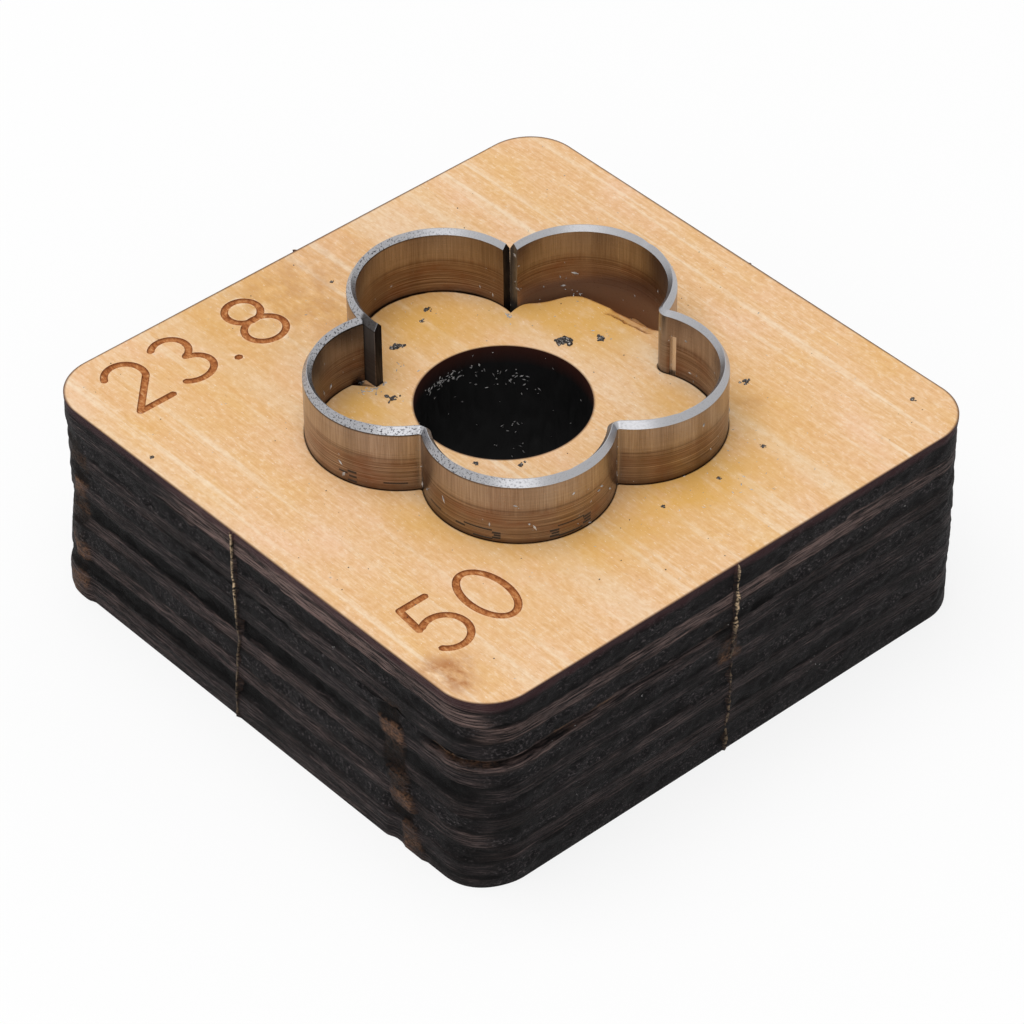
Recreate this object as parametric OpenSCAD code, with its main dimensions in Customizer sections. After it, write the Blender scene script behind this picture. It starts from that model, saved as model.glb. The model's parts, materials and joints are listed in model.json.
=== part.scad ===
// Steel rule die: a plywood board with sharpened steel strips, bent into a flower and set on edge in a slot.
// The origin is the middle of the board's underside. +Z points up, towards the cutting edge.

/* [Board] */
// Side of the square plywood board
board_side = 50; // [46:0.5:80]
// Thickness of the board
board_t = 18; // [15:0.5:21]
// Radius of the board's upright corners
corner_r = 4.2; // [2:0.1:9]
// Number of veneers in the plywood
ply_count = 11; // [7:2:15]
// Thickness of each of the two face veneers
face_ply_t = 2.4; // [1:0.1:3]
// Depth that the laser burnt each veneer back at its end grain
char_depth = 0.15; // [0.05:0.05:0.4]

/* [Snap-off nibs] */
// Width of each nib where it leaves the board
nib_root_w = 1.4; // [0.8:0.1:3]
// Width of each nib at its broken face
nib_tip_w = 0.6; // [0.3:0.1:0.7]
// Distance that each nib stands out of the board's side
nib_proud = 0.25; // [0.1:0.05:0.6]
// Place of the nib along the front, right, back and left side, counted anticlockwise from the middle
nib_shift = [-0.7, 0, 0, -2.5]; // [-8:0.1:8]

/* [Ejection hole] */
// Diameter of the hole through the board
hole_d = 13.5; // [8:0.1:16]
// Place of the hole in X
hole_x = -0.5; // [-1:0.1:1]
// Place of the hole in Y
hole_y = 0.1; // [-1:0.1:1]

/* [Flower] */
// Number of petals
petal_count = 5; // [4:1:6]
// Radius of each petal at the cutting edge
petal_r = 6.8; // [6.4:0.05:7.6]
// Distance from the flower's middle to the crest of a petal at the cutting edge
crest_r = 15.85; // [15:0.05:16.5]
// Angle that the flower is turned by, from one petal pointing along +Y
flower_turn = -4; // [-36:1:36]
// Place of the flower's middle in X
flower_x = 0.15; // [-1:0.05:1]
// Place of the flower's middle in Y
flower_y = -0.5; // [-1:0.05:1]

/* [Steel rule] */
// Height of the rule from its back to its cutting edge
rule_h = 23.8; // [22.8:0.1:25.4]
// Thickness of the rule
rule_t = 0.71; // [0.5:0.01:1.05]
// Height of the bevel ground on both sides of the cutting edge
bevel_h = 0.55; // [0.4:0.05:1.2]
// Width of the flat left at the cutting edge
edge_land = 0.06; // [0.02:0.01:0.15]
// Inside radius of the bends between petals
bend_r = 0.2; // [0.1:0.05:0.6]
// Distance that the steel swells on each side where it is bent
bend_swell = 0.01; // [0.005:0.001:0.02]
// Gap between two rule ends at a joint
joint_gap = 0.05; // [0.02:0.01:0.3]
// Distance that the short rule runs on past one of its joints, beside the end of the long rule
joint_lap = 1.8; // [0.5:0.1:2.5]

/* [Slot and bridges] */
// Clearance of the slot in the board on each side of the rule
kerf_gap = 0.03; // [0.01:0.01:0.1]
// Width of the wood left uncut across the slot at a bridge
bridge_w = 4; // [2:0.1:6]
// Depth of the slot over a bridge, so that the bridge and the rule's notch stay below the board's top
bridge_drop = 1.5; // [1:0.1:4]
// Clearance of the rule's notch over a bridge, on both flanks and on top
notch_gap = 0.2; // [0.1:0.05:0.6]

/* [Broached groove] */
// Width of the groove beside one bend
groove_w = 0.55; // [0.3:0.05:1]
// Depth of the groove into the rule
groove_d = 0.25; // [0.1:0.05:0.35]
// Distance from the cutting edge down to the top of the groove
groove_drop = 2.1; // [1.5:0.1:4]
// Distance along the wall from the bend to the groove
groove_set = 0.3; // [0.1:0.05:1]

/* [Broken veneer] */
// Distance from the petal's centre to the straight split across its crest, along the grain
split_reach = 4.3; // [3.8:0.1:5.2]
// Width of the strip of face veneer broken away beside the rule, from the split to the joint
chip_w = 1.1; // [0.5:0.1:1.2]
// Depth of the break
chip_d = 1.9; // [0.5:0.1:2.4]
// Angle about the petal's axis where the strip ends
chip_to = 82; // [60:1:83]

/* [Hidden] */
$fn = 120;

// Overshoot of a cutting tool past the face it leaves
past = 1;

inner_ply_t = (board_t - 2 * face_ply_t) / (ply_count - 2);

// The petals' centres lie on a circle, and neighbouring petals meet on the line halfway between them
petal_reach = crest_r - petal_r;
half_step = 180 / petal_count;
half_spacing = petal_reach * sin(half_step);

// A bend is an arc that is tangent to both its petals and curves the other way
bend_mid_r = bend_r + rule_t / 2;
bend_half_turn = asin(half_spacing / (petal_r + bend_mid_r));
bend_reach = petal_reach * cos(half_step) + (petal_r + bend_mid_r) * cos(bend_half_turn);

// A bend laps over the ends of its petals by this much, and its swelling hides the lap
bend_lap = 0.03;
lapped_half_turn = bend_half_turn + arc_deg(bend_lap, bend_mid_r);

// Half the angle that a petal sweeps: to a bend, to a square-cut end, to the end that runs on past a joint,
// just past where two slots cross, and to the end of the slot for the run-on
bend_turn = half_step + bend_half_turn;
joint_turn = half_step + asin(half_spacing / (petal_r + rule_t / 2)) - arc_deg(joint_gap / 2, petal_r);
lap_turn = joint_turn + arc_deg(joint_lap, petal_r);
slot_turn = half_step + asin(half_spacing / petal_r) + arc_deg(rule_t / 4, petal_r);
lap_slot_turn = lap_turn + arc_deg(kerf_gap, petal_r);

// One petal is a rule by itself, and the rest are one long rule
short_petal = 0;
first_petal = 1;
last_petal = petal_count - 1;
bridged_petals = [short_petal, floor(petal_count / 2), floor(petal_count / 2) + 1];
grooved_petal = last_petal - 1;
chipped_petal = last_petal;

// Inner wall of a petal of the rule, and of the slot round it
inner_wall_r = petal_r - rule_t / 2;
inner_slot_r = inner_wall_r - kerf_gap;

// Angle in degrees of an arc of the given length
function arc_deg(length, r) = length / r * 180 / PI;
function petal_angle(k) = 90 + flower_turn + k * 360 / petal_count;

// Plan of the board: a square with round corners
module board_plan() {
    flat = board_side - 2 * corner_r;
    square([flat, board_side], center = true);
    square([board_side, flat], center = true);
    for (x = [-1, 1], y = [-1, 1])
        translate([x * flat / 2, y * flat / 2]) circle(corner_r);
}

// Height of the glue line under veneer i, with the outermost ones taken past the board's faces
function glue_line(i) =
    i == 0 ? -past :
    i == ply_count ? board_t + past :
    face_ply_t + (i - 1) * inner_ply_t;

// End grain that burnt away: the faces and every second veneer between them have their grain along Y
module burnt_ends() {
    for (i = [0 : ply_count - 1], flip = [0, 180])
        rotate((i % 2 == 0 ? 90 : 0) + flip)
            translate([board_side / 2 - char_depth, -board_side / 2, glue_line(i)])
                cube([char_depth + past, board_side, glue_line(i + 1) - glue_line(i)]);
}

// Stubs of the tabs that held the board in its sheet, one on each side
module nibs() {
    root = board_side / 2 - char_depth - past;
    tip = board_side / 2 + nib_proud;
    for (i = [0 : 3])
        rotate(-90 + i * 90)
            translate([0, nib_shift[i]])
                linear_extrude(board_t)
                    polygon([
                        [root, -nib_root_w / 2],
                        [board_side / 2 - char_depth, -nib_root_w / 2],
                        [tip, -nib_tip_w / 2],
                        [tip, nib_tip_w / 2],
                        [board_side / 2 - char_depth, nib_root_w / 2],
                        [root, nib_root_w / 2]
                    ]);
}

// Stands at the centre of petal k, with +X along the petal's axis
module at_petal(k) {
    translate([flower_x, flower_y])
        rotate(petal_angle(k))
            translate([petal_reach, 0])
                children();
}

// Stands at the centre of the bend after petal k, with +X towards the flower's middle
module at_bend(k) {
    translate([flower_x, flower_y])
        rotate(petal_angle(k) + half_step)
            translate([bend_reach, 0])
                rotate(180)
                    children();
}

// Carries a section round a vertical axis, at radius r, between two angles
module sweep(r, from, to) {
    rotate(from)
        rotate_extrude(angle = to - from)
            translate([r, 0])
                children();
}

// Cross-section of the rule, with its back at Z = 0 and its bevelled edge on top
module rule_section(swell) {
    side = rule_t / 2 + swell;
    tip = edge_land / 2 + swell;
    polygon([
        [-side, 0],
        [side, 0],
        [side, rule_h - bevel_h],
        [tip, rule_h],
        [-tip, rule_h],
        [-side, rule_h - bevel_h]
    ]);
}

// Cross-section of the slot that holds the rule
module slot_section(swell) {
    side = rule_t / 2 + swell + kerf_gap;
    translate([-side, -past])
        square([2 * side, board_t + 2 * past]);
}

// Carries the first child along petals first to last, and the second round the bends between them
module along_petals(first, last, start_turn, end_turn) {
    for (k = [first : last])
        at_petal(k)
            sweep(petal_r, k == first ? -start_turn : -bend_turn, k == last ? end_turn : bend_turn)
                children(0);
    for (k = [first : 1 : last - 1])
        at_bend(k)
            sweep(bend_mid_r, -lapped_half_turn, lapped_half_turn)
                children(1);
}

// Upright block across the rule's path at the crest of each bridged petal
module at_bridges(w, h) {
    for (k = bridged_petals)
        at_petal(k)
            translate([petal_r - rule_t / 2 - past, -w / 2, -past])
                cube([rule_t + 2 * past, w, h + past]);
}

// Slot for one rule, cut right through the board except at the bridges, where it is shallow
module slot(first, last, end_turn) {
    difference() {
        along_petals(first, last, slot_turn, end_turn) {
            slot_section(0);
            slot_section(bend_swell);
        }
        at_bridges(bridge_w, board_t - bridge_drop);
    }
}

// Face veneer that broke away inside one petal: the crest beyond a split, and a strip beside the rule
module chip() {
    at_petal(chipped_petal) {
        sweep(inner_slot_r, 0, chip_to)
            translate([-chip_w, board_t - chip_d])
                square([chip_w + kerf_gap, chip_d + past]);
        translate([0, 0, board_t - chip_d])
            intersection() {
                cylinder(h = chip_d + past, r = inner_slot_r + kerf_gap);
                translate([split_reach, -petal_r, -past])
                    cube([petal_r, 2 * petal_r, chip_d + 3 * past]);
            }
    }
}

// Groove cut into the inner wall of the rule beside a bend
module groove() {
    to = bend_turn - arc_deg(groove_set, inner_wall_r);
    at_petal(grooved_petal)
        sweep(inner_wall_r, to - arc_deg(groove_w, inner_wall_r), to)
            translate([-past, -past])
                square([groove_d + past, rule_h - groove_drop + past]);
}

// Notches that let the rule straddle the bridges
module notches() {
    at_bridges(bridge_w + 2 * notch_gap, board_t - bridge_drop + notch_gap);
}

module die_board() {
    color("burlywood")
        difference() {
            union() {
                difference() {
                    linear_extrude(board_t) board_plan();
                    burnt_ends();
                }
                nibs();
            }
            translate([hole_x, hole_y, -past]) cylinder(h = board_t + 2 * past, d = hole_d);
            slot(first_petal, last_petal, slot_turn);
            slot(short_petal, short_petal, lap_slot_turn);
            chip();
        }
}

module long_rule() {
    color("slategray")
        difference() {
            along_petals(first_petal, last_petal, joint_turn, joint_turn) {
                rule_section(0);
                rule_section(bend_swell);
            }
            notches();
            groove();
        }
}

module short_rule() {
    color("lightslategray")
        difference() {
            along_petals(short_petal, short_petal, joint_turn, lap_turn) rule_section(0);
            notches();
        }
}

die_board();
long_rule();
short_rule();
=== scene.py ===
import json
import math

import bpy
import numpy as np
from mathutils import Matrix, Vector


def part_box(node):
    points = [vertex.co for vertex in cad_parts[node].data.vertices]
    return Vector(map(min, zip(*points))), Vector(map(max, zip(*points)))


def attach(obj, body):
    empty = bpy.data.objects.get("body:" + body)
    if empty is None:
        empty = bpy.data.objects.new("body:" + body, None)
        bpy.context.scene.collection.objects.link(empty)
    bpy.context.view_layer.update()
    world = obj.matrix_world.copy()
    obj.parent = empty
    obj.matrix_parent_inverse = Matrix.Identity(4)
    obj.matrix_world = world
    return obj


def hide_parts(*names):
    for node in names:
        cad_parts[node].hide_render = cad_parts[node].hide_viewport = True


# Steel rule die: charred plywood board, flower of cutting rule standing in its slot, crumbs and dust of use
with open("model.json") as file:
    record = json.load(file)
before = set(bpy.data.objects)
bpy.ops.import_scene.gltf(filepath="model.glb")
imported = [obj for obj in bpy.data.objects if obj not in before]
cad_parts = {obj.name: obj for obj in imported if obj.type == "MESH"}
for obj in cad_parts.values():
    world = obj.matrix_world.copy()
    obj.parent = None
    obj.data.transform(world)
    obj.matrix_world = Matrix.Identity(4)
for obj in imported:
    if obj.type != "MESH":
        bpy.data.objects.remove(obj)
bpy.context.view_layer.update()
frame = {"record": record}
mm = 0.001

# Sizes are in millimetres, apart from the studio's and the camera's, which are in metres
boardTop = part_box("die_board")[1].z / mm
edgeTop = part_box("long_rule")[1].z / mm
holeMount = next(m for m in frame["record"]["mounts"] if m["name"] == "ejection_hole")
holeCentre = np.array(holeMount["pos_m"][:2]) / mm
holeR = holeMount["dims"]["r_mm"]


# Helpers for arrays

def smoothStep(low, high, value):
    # 0 at low, 1 at high, and 3t^2 - 2t^3 between them; low may be the greater one
    t = np.clip((value - low) / (high - low), 0, 1)
    return t * t * (3 - 2 * t)


def smoothBand(centre, width, soft, value):
    # 1 within half the width of the centre and 0 outside, with soft shoulders
    return 1 - smoothStep(width / 2 - soft / 2, width / 2 + soft / 2, np.abs(value - centre))


def wrapAngle(angle):
    # The same angle between -pi and pi
    return np.angle(np.exp(1j * angle))


def unitRay(angle):
    # Cosine and sine of each angle
    return np.stack([np.cos(angle), np.sin(angle)], -1)


def rayAngle(vector):
    # Angle of each plan vector from the x axis
    return np.arctan2(vector[..., 1], vector[..., 0])


def atHeight(plan, z):
    # Plan points with a height as their third number
    return np.concatenate([plan, np.broadcast_to(z, plan.shape[:-1])[..., None]], -1)


def between(start, stop, share):
    # Rows of points that lie a share of the way from one line to another
    return start + (stop - start) * share[:, :, None]


def runLength(points):
    # Length of a line of points up to each of them
    return np.concatenate([[0], np.cumsum(np.linalg.norm(np.diff(points, axis=0), axis=1))])


def softNoise(shape, blur, seed):
    # White noise times a Gaussian in the frequency plane, scaled to unit spread; it wraps at both ends
    white = np.random.default_rng(seed).standard_normal(shape)
    rowWave = np.fft.fftfreq(shape[0])[:, None] * blur[0]
    colWave = np.fft.rfftfreq(shape[1])[None, :] * blur[1]
    soft = np.exp(-2 * np.pi ** 2 * (rowWave ** 2 + colWave ** 2))
    field = np.fft.irfft2(np.fft.rfft2(white) * soft, s=shape)
    return (field - field.mean()) / field.std()


def lineNoise(count, blur, seed):
    # The same along a line
    return softNoise((2, count), (0.01, blur), seed)[0]


def gridFaces(rows, cols, wrapRows, wrapCols):
    # Quads between neighbouring rows and columns of a grid, each grid line counted once
    r = np.arange(rows if wrapRows else rows - 1)[:, None]
    c = np.arange(cols if wrapCols else cols - 1)[None, :]
    rNext, cNext = (r + 1) % rows, (c + 1) % cols
    corners = [r * cols + c, r * cols + cNext, rNext * cols + cNext, rNext * cols + c]
    return np.stack(np.broadcast_arrays(*corners), -1).reshape(-1, 4)


def sweptFaces(rows, cols):
    # A section that closes over the rows, carried along the columns, with a flat face at each end
    ends = np.arange(rows) * cols
    return gridFaces(rows, cols, True, False).tolist() + [ends.tolist(), (ends + cols - 1)[::-1].tolist()]


def stackedFaces(rows, cols):
    # A section that closes over the columns, stacked up in rows, with a flat face at each end
    ends = np.arange(cols)
    caps = [ends[::-1].tolist(), (ends + (rows - 1) * cols).tolist()]
    return gridFaces(rows, cols, False, True).tolist() + caps


def shiftFaces(faces, shift):
    # Faces whose points come later in a list by a shift
    return [[shift + i for i in face] for face in faces]


def repeatFaces(one, count, size):
    # The faces of one small solid, which has size points, for each of count such solids
    return (one[None] + (np.arange(count) * size)[:, None, None]).reshape(-1, one.shape[1])


def smoothShade(piece, angle):
    # Smooth faces, with edges kept sharp where they turn by more than the angle in degrees
    mesh = piece.data
    mesh.polygons.foreach_set("use_smooth", np.ones(len(mesh.polygons), bool))
    mesh.set_sharp_from_angle(angle=math.radians(angle))


def addPiece(name, points, faces, materials, faceMaterial=None, attributes=None):
    # A mesh object that rides on the part; an attribute is a vector for each point, or one for them all
    mesh = bpy.data.meshes.new(name)
    mesh.from_pydata((np.asarray(points).reshape(-1, 3) * mm).tolist(), [], [list(f) for f in faces])
    for material in materials:
        mesh.materials.append(material)
    if faceMaterial is not None:
        mesh.polygons.foreach_set("material_index", np.asarray(faceMaterial, np.int32))
    for key, values in (attributes or {}).items():
        layer = mesh.attributes.new(key, "FLOAT_VECTOR", "POINT")
        vectors = np.asarray(values, np.float32).reshape(-1, 3)
        layer.data.foreach_set("vector", np.broadcast_to(vectors, (len(mesh.vertices), 3)).reshape(-1))
    mesh.validate()
    mesh.update()
    piece = bpy.data.objects.new(name, mesh)
    bpy.context.scene.collection.objects.link(piece)
    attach(piece, "root")
    return piece


def addRing(name, blocks, kinds, materials, fields):
    # Joins blocks of rows into a closed ring; faces take the material of the row before them, and the last
    # block's material starts one row early
    points = np.concatenate(blocks)
    rows, columns = points.shape[:2]
    rowKinds = np.repeat(kinds, [len(block) for block in blocks])
    rowKinds[-len(blocks[-1]) - 1] = kinds[-1]
    faces = gridFaces(rows, columns, True, True)[:, ::-1]
    return addPiece(name, points, faces, materials, np.repeat(rowKinds, columns), fields)


# Helpers for materials

def hexColor(text):
    # sRGB hex to linear
    srgb = np.array([int(text[i:i + 2], 16) for i in (1, 3, 5)]) / 255
    linear = np.where(srgb <= 0.04045, srgb / 12.92, ((srgb + 0.055) / 1.055) ** 2.4)
    return (*linear, 1.0)


def addNode(owner, kind, inputs=None, ramp=None, **settings):
    # Adds a node, sets its options, fills each input with a value or a link, and returns its outputs
    tree = owner.node_tree
    node = tree.nodes.new("ShaderNode" + kind)
    for key, value in settings.items():
        setattr(node, key, value)
    if ramp:
        stops = node.color_ramp.elements
        while len(stops) < len(ramp):
            stops.new(0.5)
        for stop, (place, tone) in zip(stops, ramp):
            stop.position = place
            stop.color = hexColor(tone)
    for key, value in (inputs or {}).items():
        if isinstance(value, bpy.types.NodeSocket):
            tree.links.new(value, node.inputs[key])
        else:
            node.inputs[key].default_value = hexColor(value) if isinstance(value, str) else value
    return node.outputs


def newMaterial(name, patterns, source=None):
    # A material with one stretched noise for each pattern, whose cell is in millimetres of object space or of
    # the attribute that source names
    material = bpy.data.materials.new(name)
    material.use_nodes = True
    material.node_tree.nodes.clear()
    if source:
        place, unit = addNode(material, "Attribute", attribute_name=source)["Vector"], 1
    else:
        place, unit = addNode(material, "TexCoord")["Object"], mm
    noises = {}
    for key, (cell, detail, roughness) in patterns.items():
        scale = [1 / (size * unit) for size in cell]
        stretched = addNode(material, "Mapping", {"Vector": place, "Scale": scale})[0]
        settings = {"Vector": stretched, "Scale": 1.0, "Detail": detail, "Roughness": roughness}
        noises[key] = addNode(material, "TexNoise", settings)["Fac"]
    return material, place, noises


def readField(material, name):
    # The three numbers of an attribute that a piece carries
    vector = addNode(material, "Attribute", attribute_name=name)["Vector"]
    return addNode(material, "SeparateXYZ", {"Vector": vector})


def paintLayers(material, color, layers):
    # Colours over a colour: source of each mask, values where it is off and full, strength, and colour
    for source, off, full, strength, above in layers:
        mask = addNode(material, "MapRange", {"Value": source, 1: off, 2: full, 3: 0.0, 4: strength})[0]
        color = addNode(material, "Mix", {0: mask, 6: color, 7: above}, data_type="RGBA")[2]
    return color


def finishMaterial(material, settings):
    # Ends a material in one principled shader
    shader = addNode(material, "BsdfPrincipled", settings)[0]
    addNode(material, "OutputMaterial", {"Surface": shader})
    return material


# Birch face veneer, peeled and sanded: pale honey wood with long fine grain along Y, cream streaks,
# ochre press stains, short pores and a thin burn beside every laser cut, with broad painted shade spots
# that darken the top towards its far edge

def makeBirch():
    material, _, noise = newMaterial("birch_veneer_sanded", {
        "grain": ((0.16, 3.2, 3), 3, 0.6),
        "streak": ((1.2, 45, 20), 4, 0.6),
        "broad": ((3.4, 80, 30), 2, 0.5),
        "blotch": ((5, 9, 20), 3, 0.55),
        "mottle": ((0.42, 0.8, 1), 4, 0.7),
        "fleck": ((0.11, 0.5, 1), 2, 0.6),
        "pore": ((0.13, 0.9, 1), 2, 0.7),
        "stain": ((1.3, 2.4, 2), 5, 0.65),
    })
    near, wearAndShade = readField(material, "near"), readField(material, "wearAndShade")
    grainRamp = [(0.3, "#DBAE7A"), (0.5, "#E3B888"), (0.7, "#EAC59B")]
    color = addNode(material, "ValToRGB", {"Fac": noise["grain"]}, grainRamp)[0]
    # The ochre stain layer and the scorched layer also paint broad shade spots that darken the top towards
    # its far edge
    color = paintLayers(material, color, [
        (noise["blotch"], 0.52, 0.7, 0.4, "#E0B062"), (noise["blotch"], 0.48, 0.3, 0.6, "#EBC3A3"),
        (noise["streak"], 0.5, 0.72, 0.3, "#D9A06A"), (noise["streak"], 0.44, 0.32, 0.6, "#F0DDC2"),
        (noise["broad"], 0.5, 0.66, wearAndShade["Z"], "#EBD5B8"),
        (noise["mottle"], 0.5, 0.7, 0.45, "#D09A5E"), (noise["mottle"], 0.48, 0.3, 0.5, "#F3DDBF"),
        (noise["stain"], 0.2, 0.5, near["Z"], "#D8A654"), (noise["fleck"], 0.63, 0.74, 0.6, "#F9ECD8"),
        (noise["pore"], 0.63, 0.76, 0.4, "#A67243"), (noise["stain"], 0.36, 0.58, wearAndShade["Y"], "#B27A4A"),
        (wearAndShade["X"], 0.0, 1.0, 1.0, "#8E5525"),
        (near["X"], 0.22, 0.05, 0.9, "#4A2A1C"), (near["Y"], 0.1, 0.01, 0.75, "#4A2E18"),
    ])
    gloss = addNode(material, "MapRange", {"Value": noise["grain"], 1: 0.3, 2: 0.7, 3: 0.62, 4: 0.5})[0]
    bump = addNode(material, "Bump", {"Height": noise["grain"], "Strength": 0.3, "Distance": 0.03 * mm})[0]
    settings = {"Base Color": color, "Roughness": gloss, "Normal": bump, "Specular IOR Level": 0.22}
    return finishMaterial(material, settings)


# Plywood: the two face veneers are thicker than the rest

plies = {
    "count": 11,
    "facePly": 2.4,
}


# Laser-charred plywood edge: sooty black end grain, brown-black long grain with fibre streaks, raw brown
# wood where the cut stopped short, and pale torn fibre along each broken tab; also painted black shade in
# hollows and the open split, a painted highlight on the split's upper lip, and painted glints and sheen

def makeChar():
    material, place, noise = newMaterial("plywood_edge_laser_charred", {
        "fibre": ((2.2, 2.2, 0.085), 5, 0.75),
        "sootAndShading": ((0.26, 0.26, 0.17), 5, 0.75),
        "patch": ((6, 6, 1.7), 4, 0.65),
        "ash": ((0.34, 0.34, 0.16), 5, 0.7),
    })
    char, sootAndShading = readField(material, "char"), readField(material, "sootAndShading")
    height = addNode(material, "SeparateXYZ", {"Vector": place})["Z"]
    # The lightest stops of both ramps are painted glints on the pits and painted sheen on the fibre streaks
    longRamp = [(0.36, "#070506"), (0.48, "#1B1718"), (0.57, "#383132"), (0.67, "#6C5D58")]
    endRamp = [(0.4, "#040304"), (0.49, "#121011"), (0.58, "#343031"), (0.68, "#666061")]
    longTone = addNode(material, "ValToRGB", {"Fac": noise["fibre"]}, longRamp)[0]
    endTone = addNode(material, "ValToRGB", {"Fac": noise["sootAndShading"]}, endRamp)[0]
    color = addNode(material, "Mix", {0: char["X"], 6: longTone, 7: endTone}, data_type="RGBA")[2]

    # Distance to the nearest glue line in metres, with a slow wander
    plyT = (boardTop - 2 * plies["facePly"]) / (plies["count"] - 2) * mm
    wander = {"Value": noise["patch"], 1: 0.3, 2: 0.7, 3: -0.12 * mm, 4: 0.12 * mm}
    wander = addNode(material, "MapRange", wander)[0]
    fromGlue = height
    for operation, value in (("SUBTRACT", plies["facePly"] * mm), ("PINGPONG", plyT / 2), ("ADD", wander)):
        fromGlue = addNode(material, "Math", {0: fromGlue, 1: value}, operation=operation)[0]

    # Black in hollows and the split is painted shade, and tan on the split's lip a painted highlight
    color = paintLayers(material, color, [
        (noise["patch"], 0.54, 0.4, 0.8, "#0B090A"), (noise["fibre"], 0.44, 0.62, sootAndShading["Y"], "#806A64"),
        (fromGlue, 0.16 * mm, 0.05 * mm, 0.75, "#050404"), (sootAndShading["X"], 0.0, 1.0, 0.9, "#040303"),
        (height, (boardTop - 1.0) * mm, (boardTop - 0.5) * mm, 0.7, "#40272A"),
        (noise["ash"], 0.4, 0.6, char["Y"], "#74543F"), (noise["ash"], 0.46, 0.54, char["Z"], "#D2B794"),
        (noise["ash"], 0.4, 0.6, sootAndShading["Z"], "#7A5B40"),
    ])
    relief = {0: char["X"], 2: noise["fibre"], 3: noise["sootAndShading"]}
    relief = addNode(material, "Mix", relief, data_type="FLOAT")[0]
    bump = addNode(material, "Bump", {"Height": relief, "Strength": 1.0, "Distance": 0.2 * mm})[0]
    gloss = addNode(material, "MapRange", {"Value": noise["sootAndShading"], 1: 0.3, 2: 0.7, 3: 0.45, 4: 0.8})[0]
    settings = {"Base Color": color, "Roughness": gloss, "Normal": bump, "Specular IOR Level": 0.09}
    return finishMaterial(material, settings)


# Cutting rule: sizes that its steel and its shape share

rule = {
    "bevelH": 0.57,
    "innerBevelH": 0.4,
    "land": 0.06,
    "bandDrop": 2.8,
    # other rows of the section, as drops below the cutting edge
    "rowDrops": [5.8, 4.2],
    "notchGap": 0.2,
    "grooved": 3,
    "grooveW": 0.55,
    "grooveD": 0.25,
    "grooveDrop": 2.1,
    "grooveSet": 0.3,
    # distances between the two rows, and the two columns, that make an edge of the groove or of a notch sharp
    "grooveRow": 0.02,
    "sharpStep": 0.006,
    # how far the joint that is seen stands open at its top, and how far down
    "jointOpen": (0.04, 1.2),
    "shade": 24,
    "seed": 51,
    # nicks in the edge: blur in columns, noise where they start, most of it, depth, and ripple
    "nicks": (3, 1.6, 1.5, 0.045, 0.004),
    # angle about the flower's middle, width and depth of dents in the cutting edge
    "dents": [(266, 0.5, 0.14), (194, 0.4, 0.08), (338, 0.4, 0.06), (8, 0.35, 0.1), (243, 0.3, 0.05)],
    # distances from a bend where its painted highlight starts and is full
    "bendSpot": (0.55, 0.35),
    # dark, dull run-on end: lengths where the darkening starts and is full, strength, and share on the last
    # edge
    "tail": (1.9, 1.5, 0.9, 0.25),
    # painted shade at the foot of the outer and of the inner wall
    "foot": (0.75, 0.45),
    # grit on the bevel: its least, angle where it is most, and cosines from there where it starts and is full
    "grit": (0.12, 150, -0.1, 0.6),
    # painted brown reflection over the chip, less metallic: angles where it starts and is full, and drop
    # where it ends
    "chipReflection": (-55, -48, 3.5),
    # what keeps the noise of the two strips and of the two walls apart
    "runShift": 200,
    "wallShift": 40,
}


# Carbon steel rule: bright ground bevel with dark nicks, shaved band with fine upright scratches below it,
# and oxide-brown rolled body with lines along the strip, painted shade on the inner walls and at its foot,
# painted highlights at the bends, a darker run-on end, and a painted brown reflection over the chip

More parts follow.
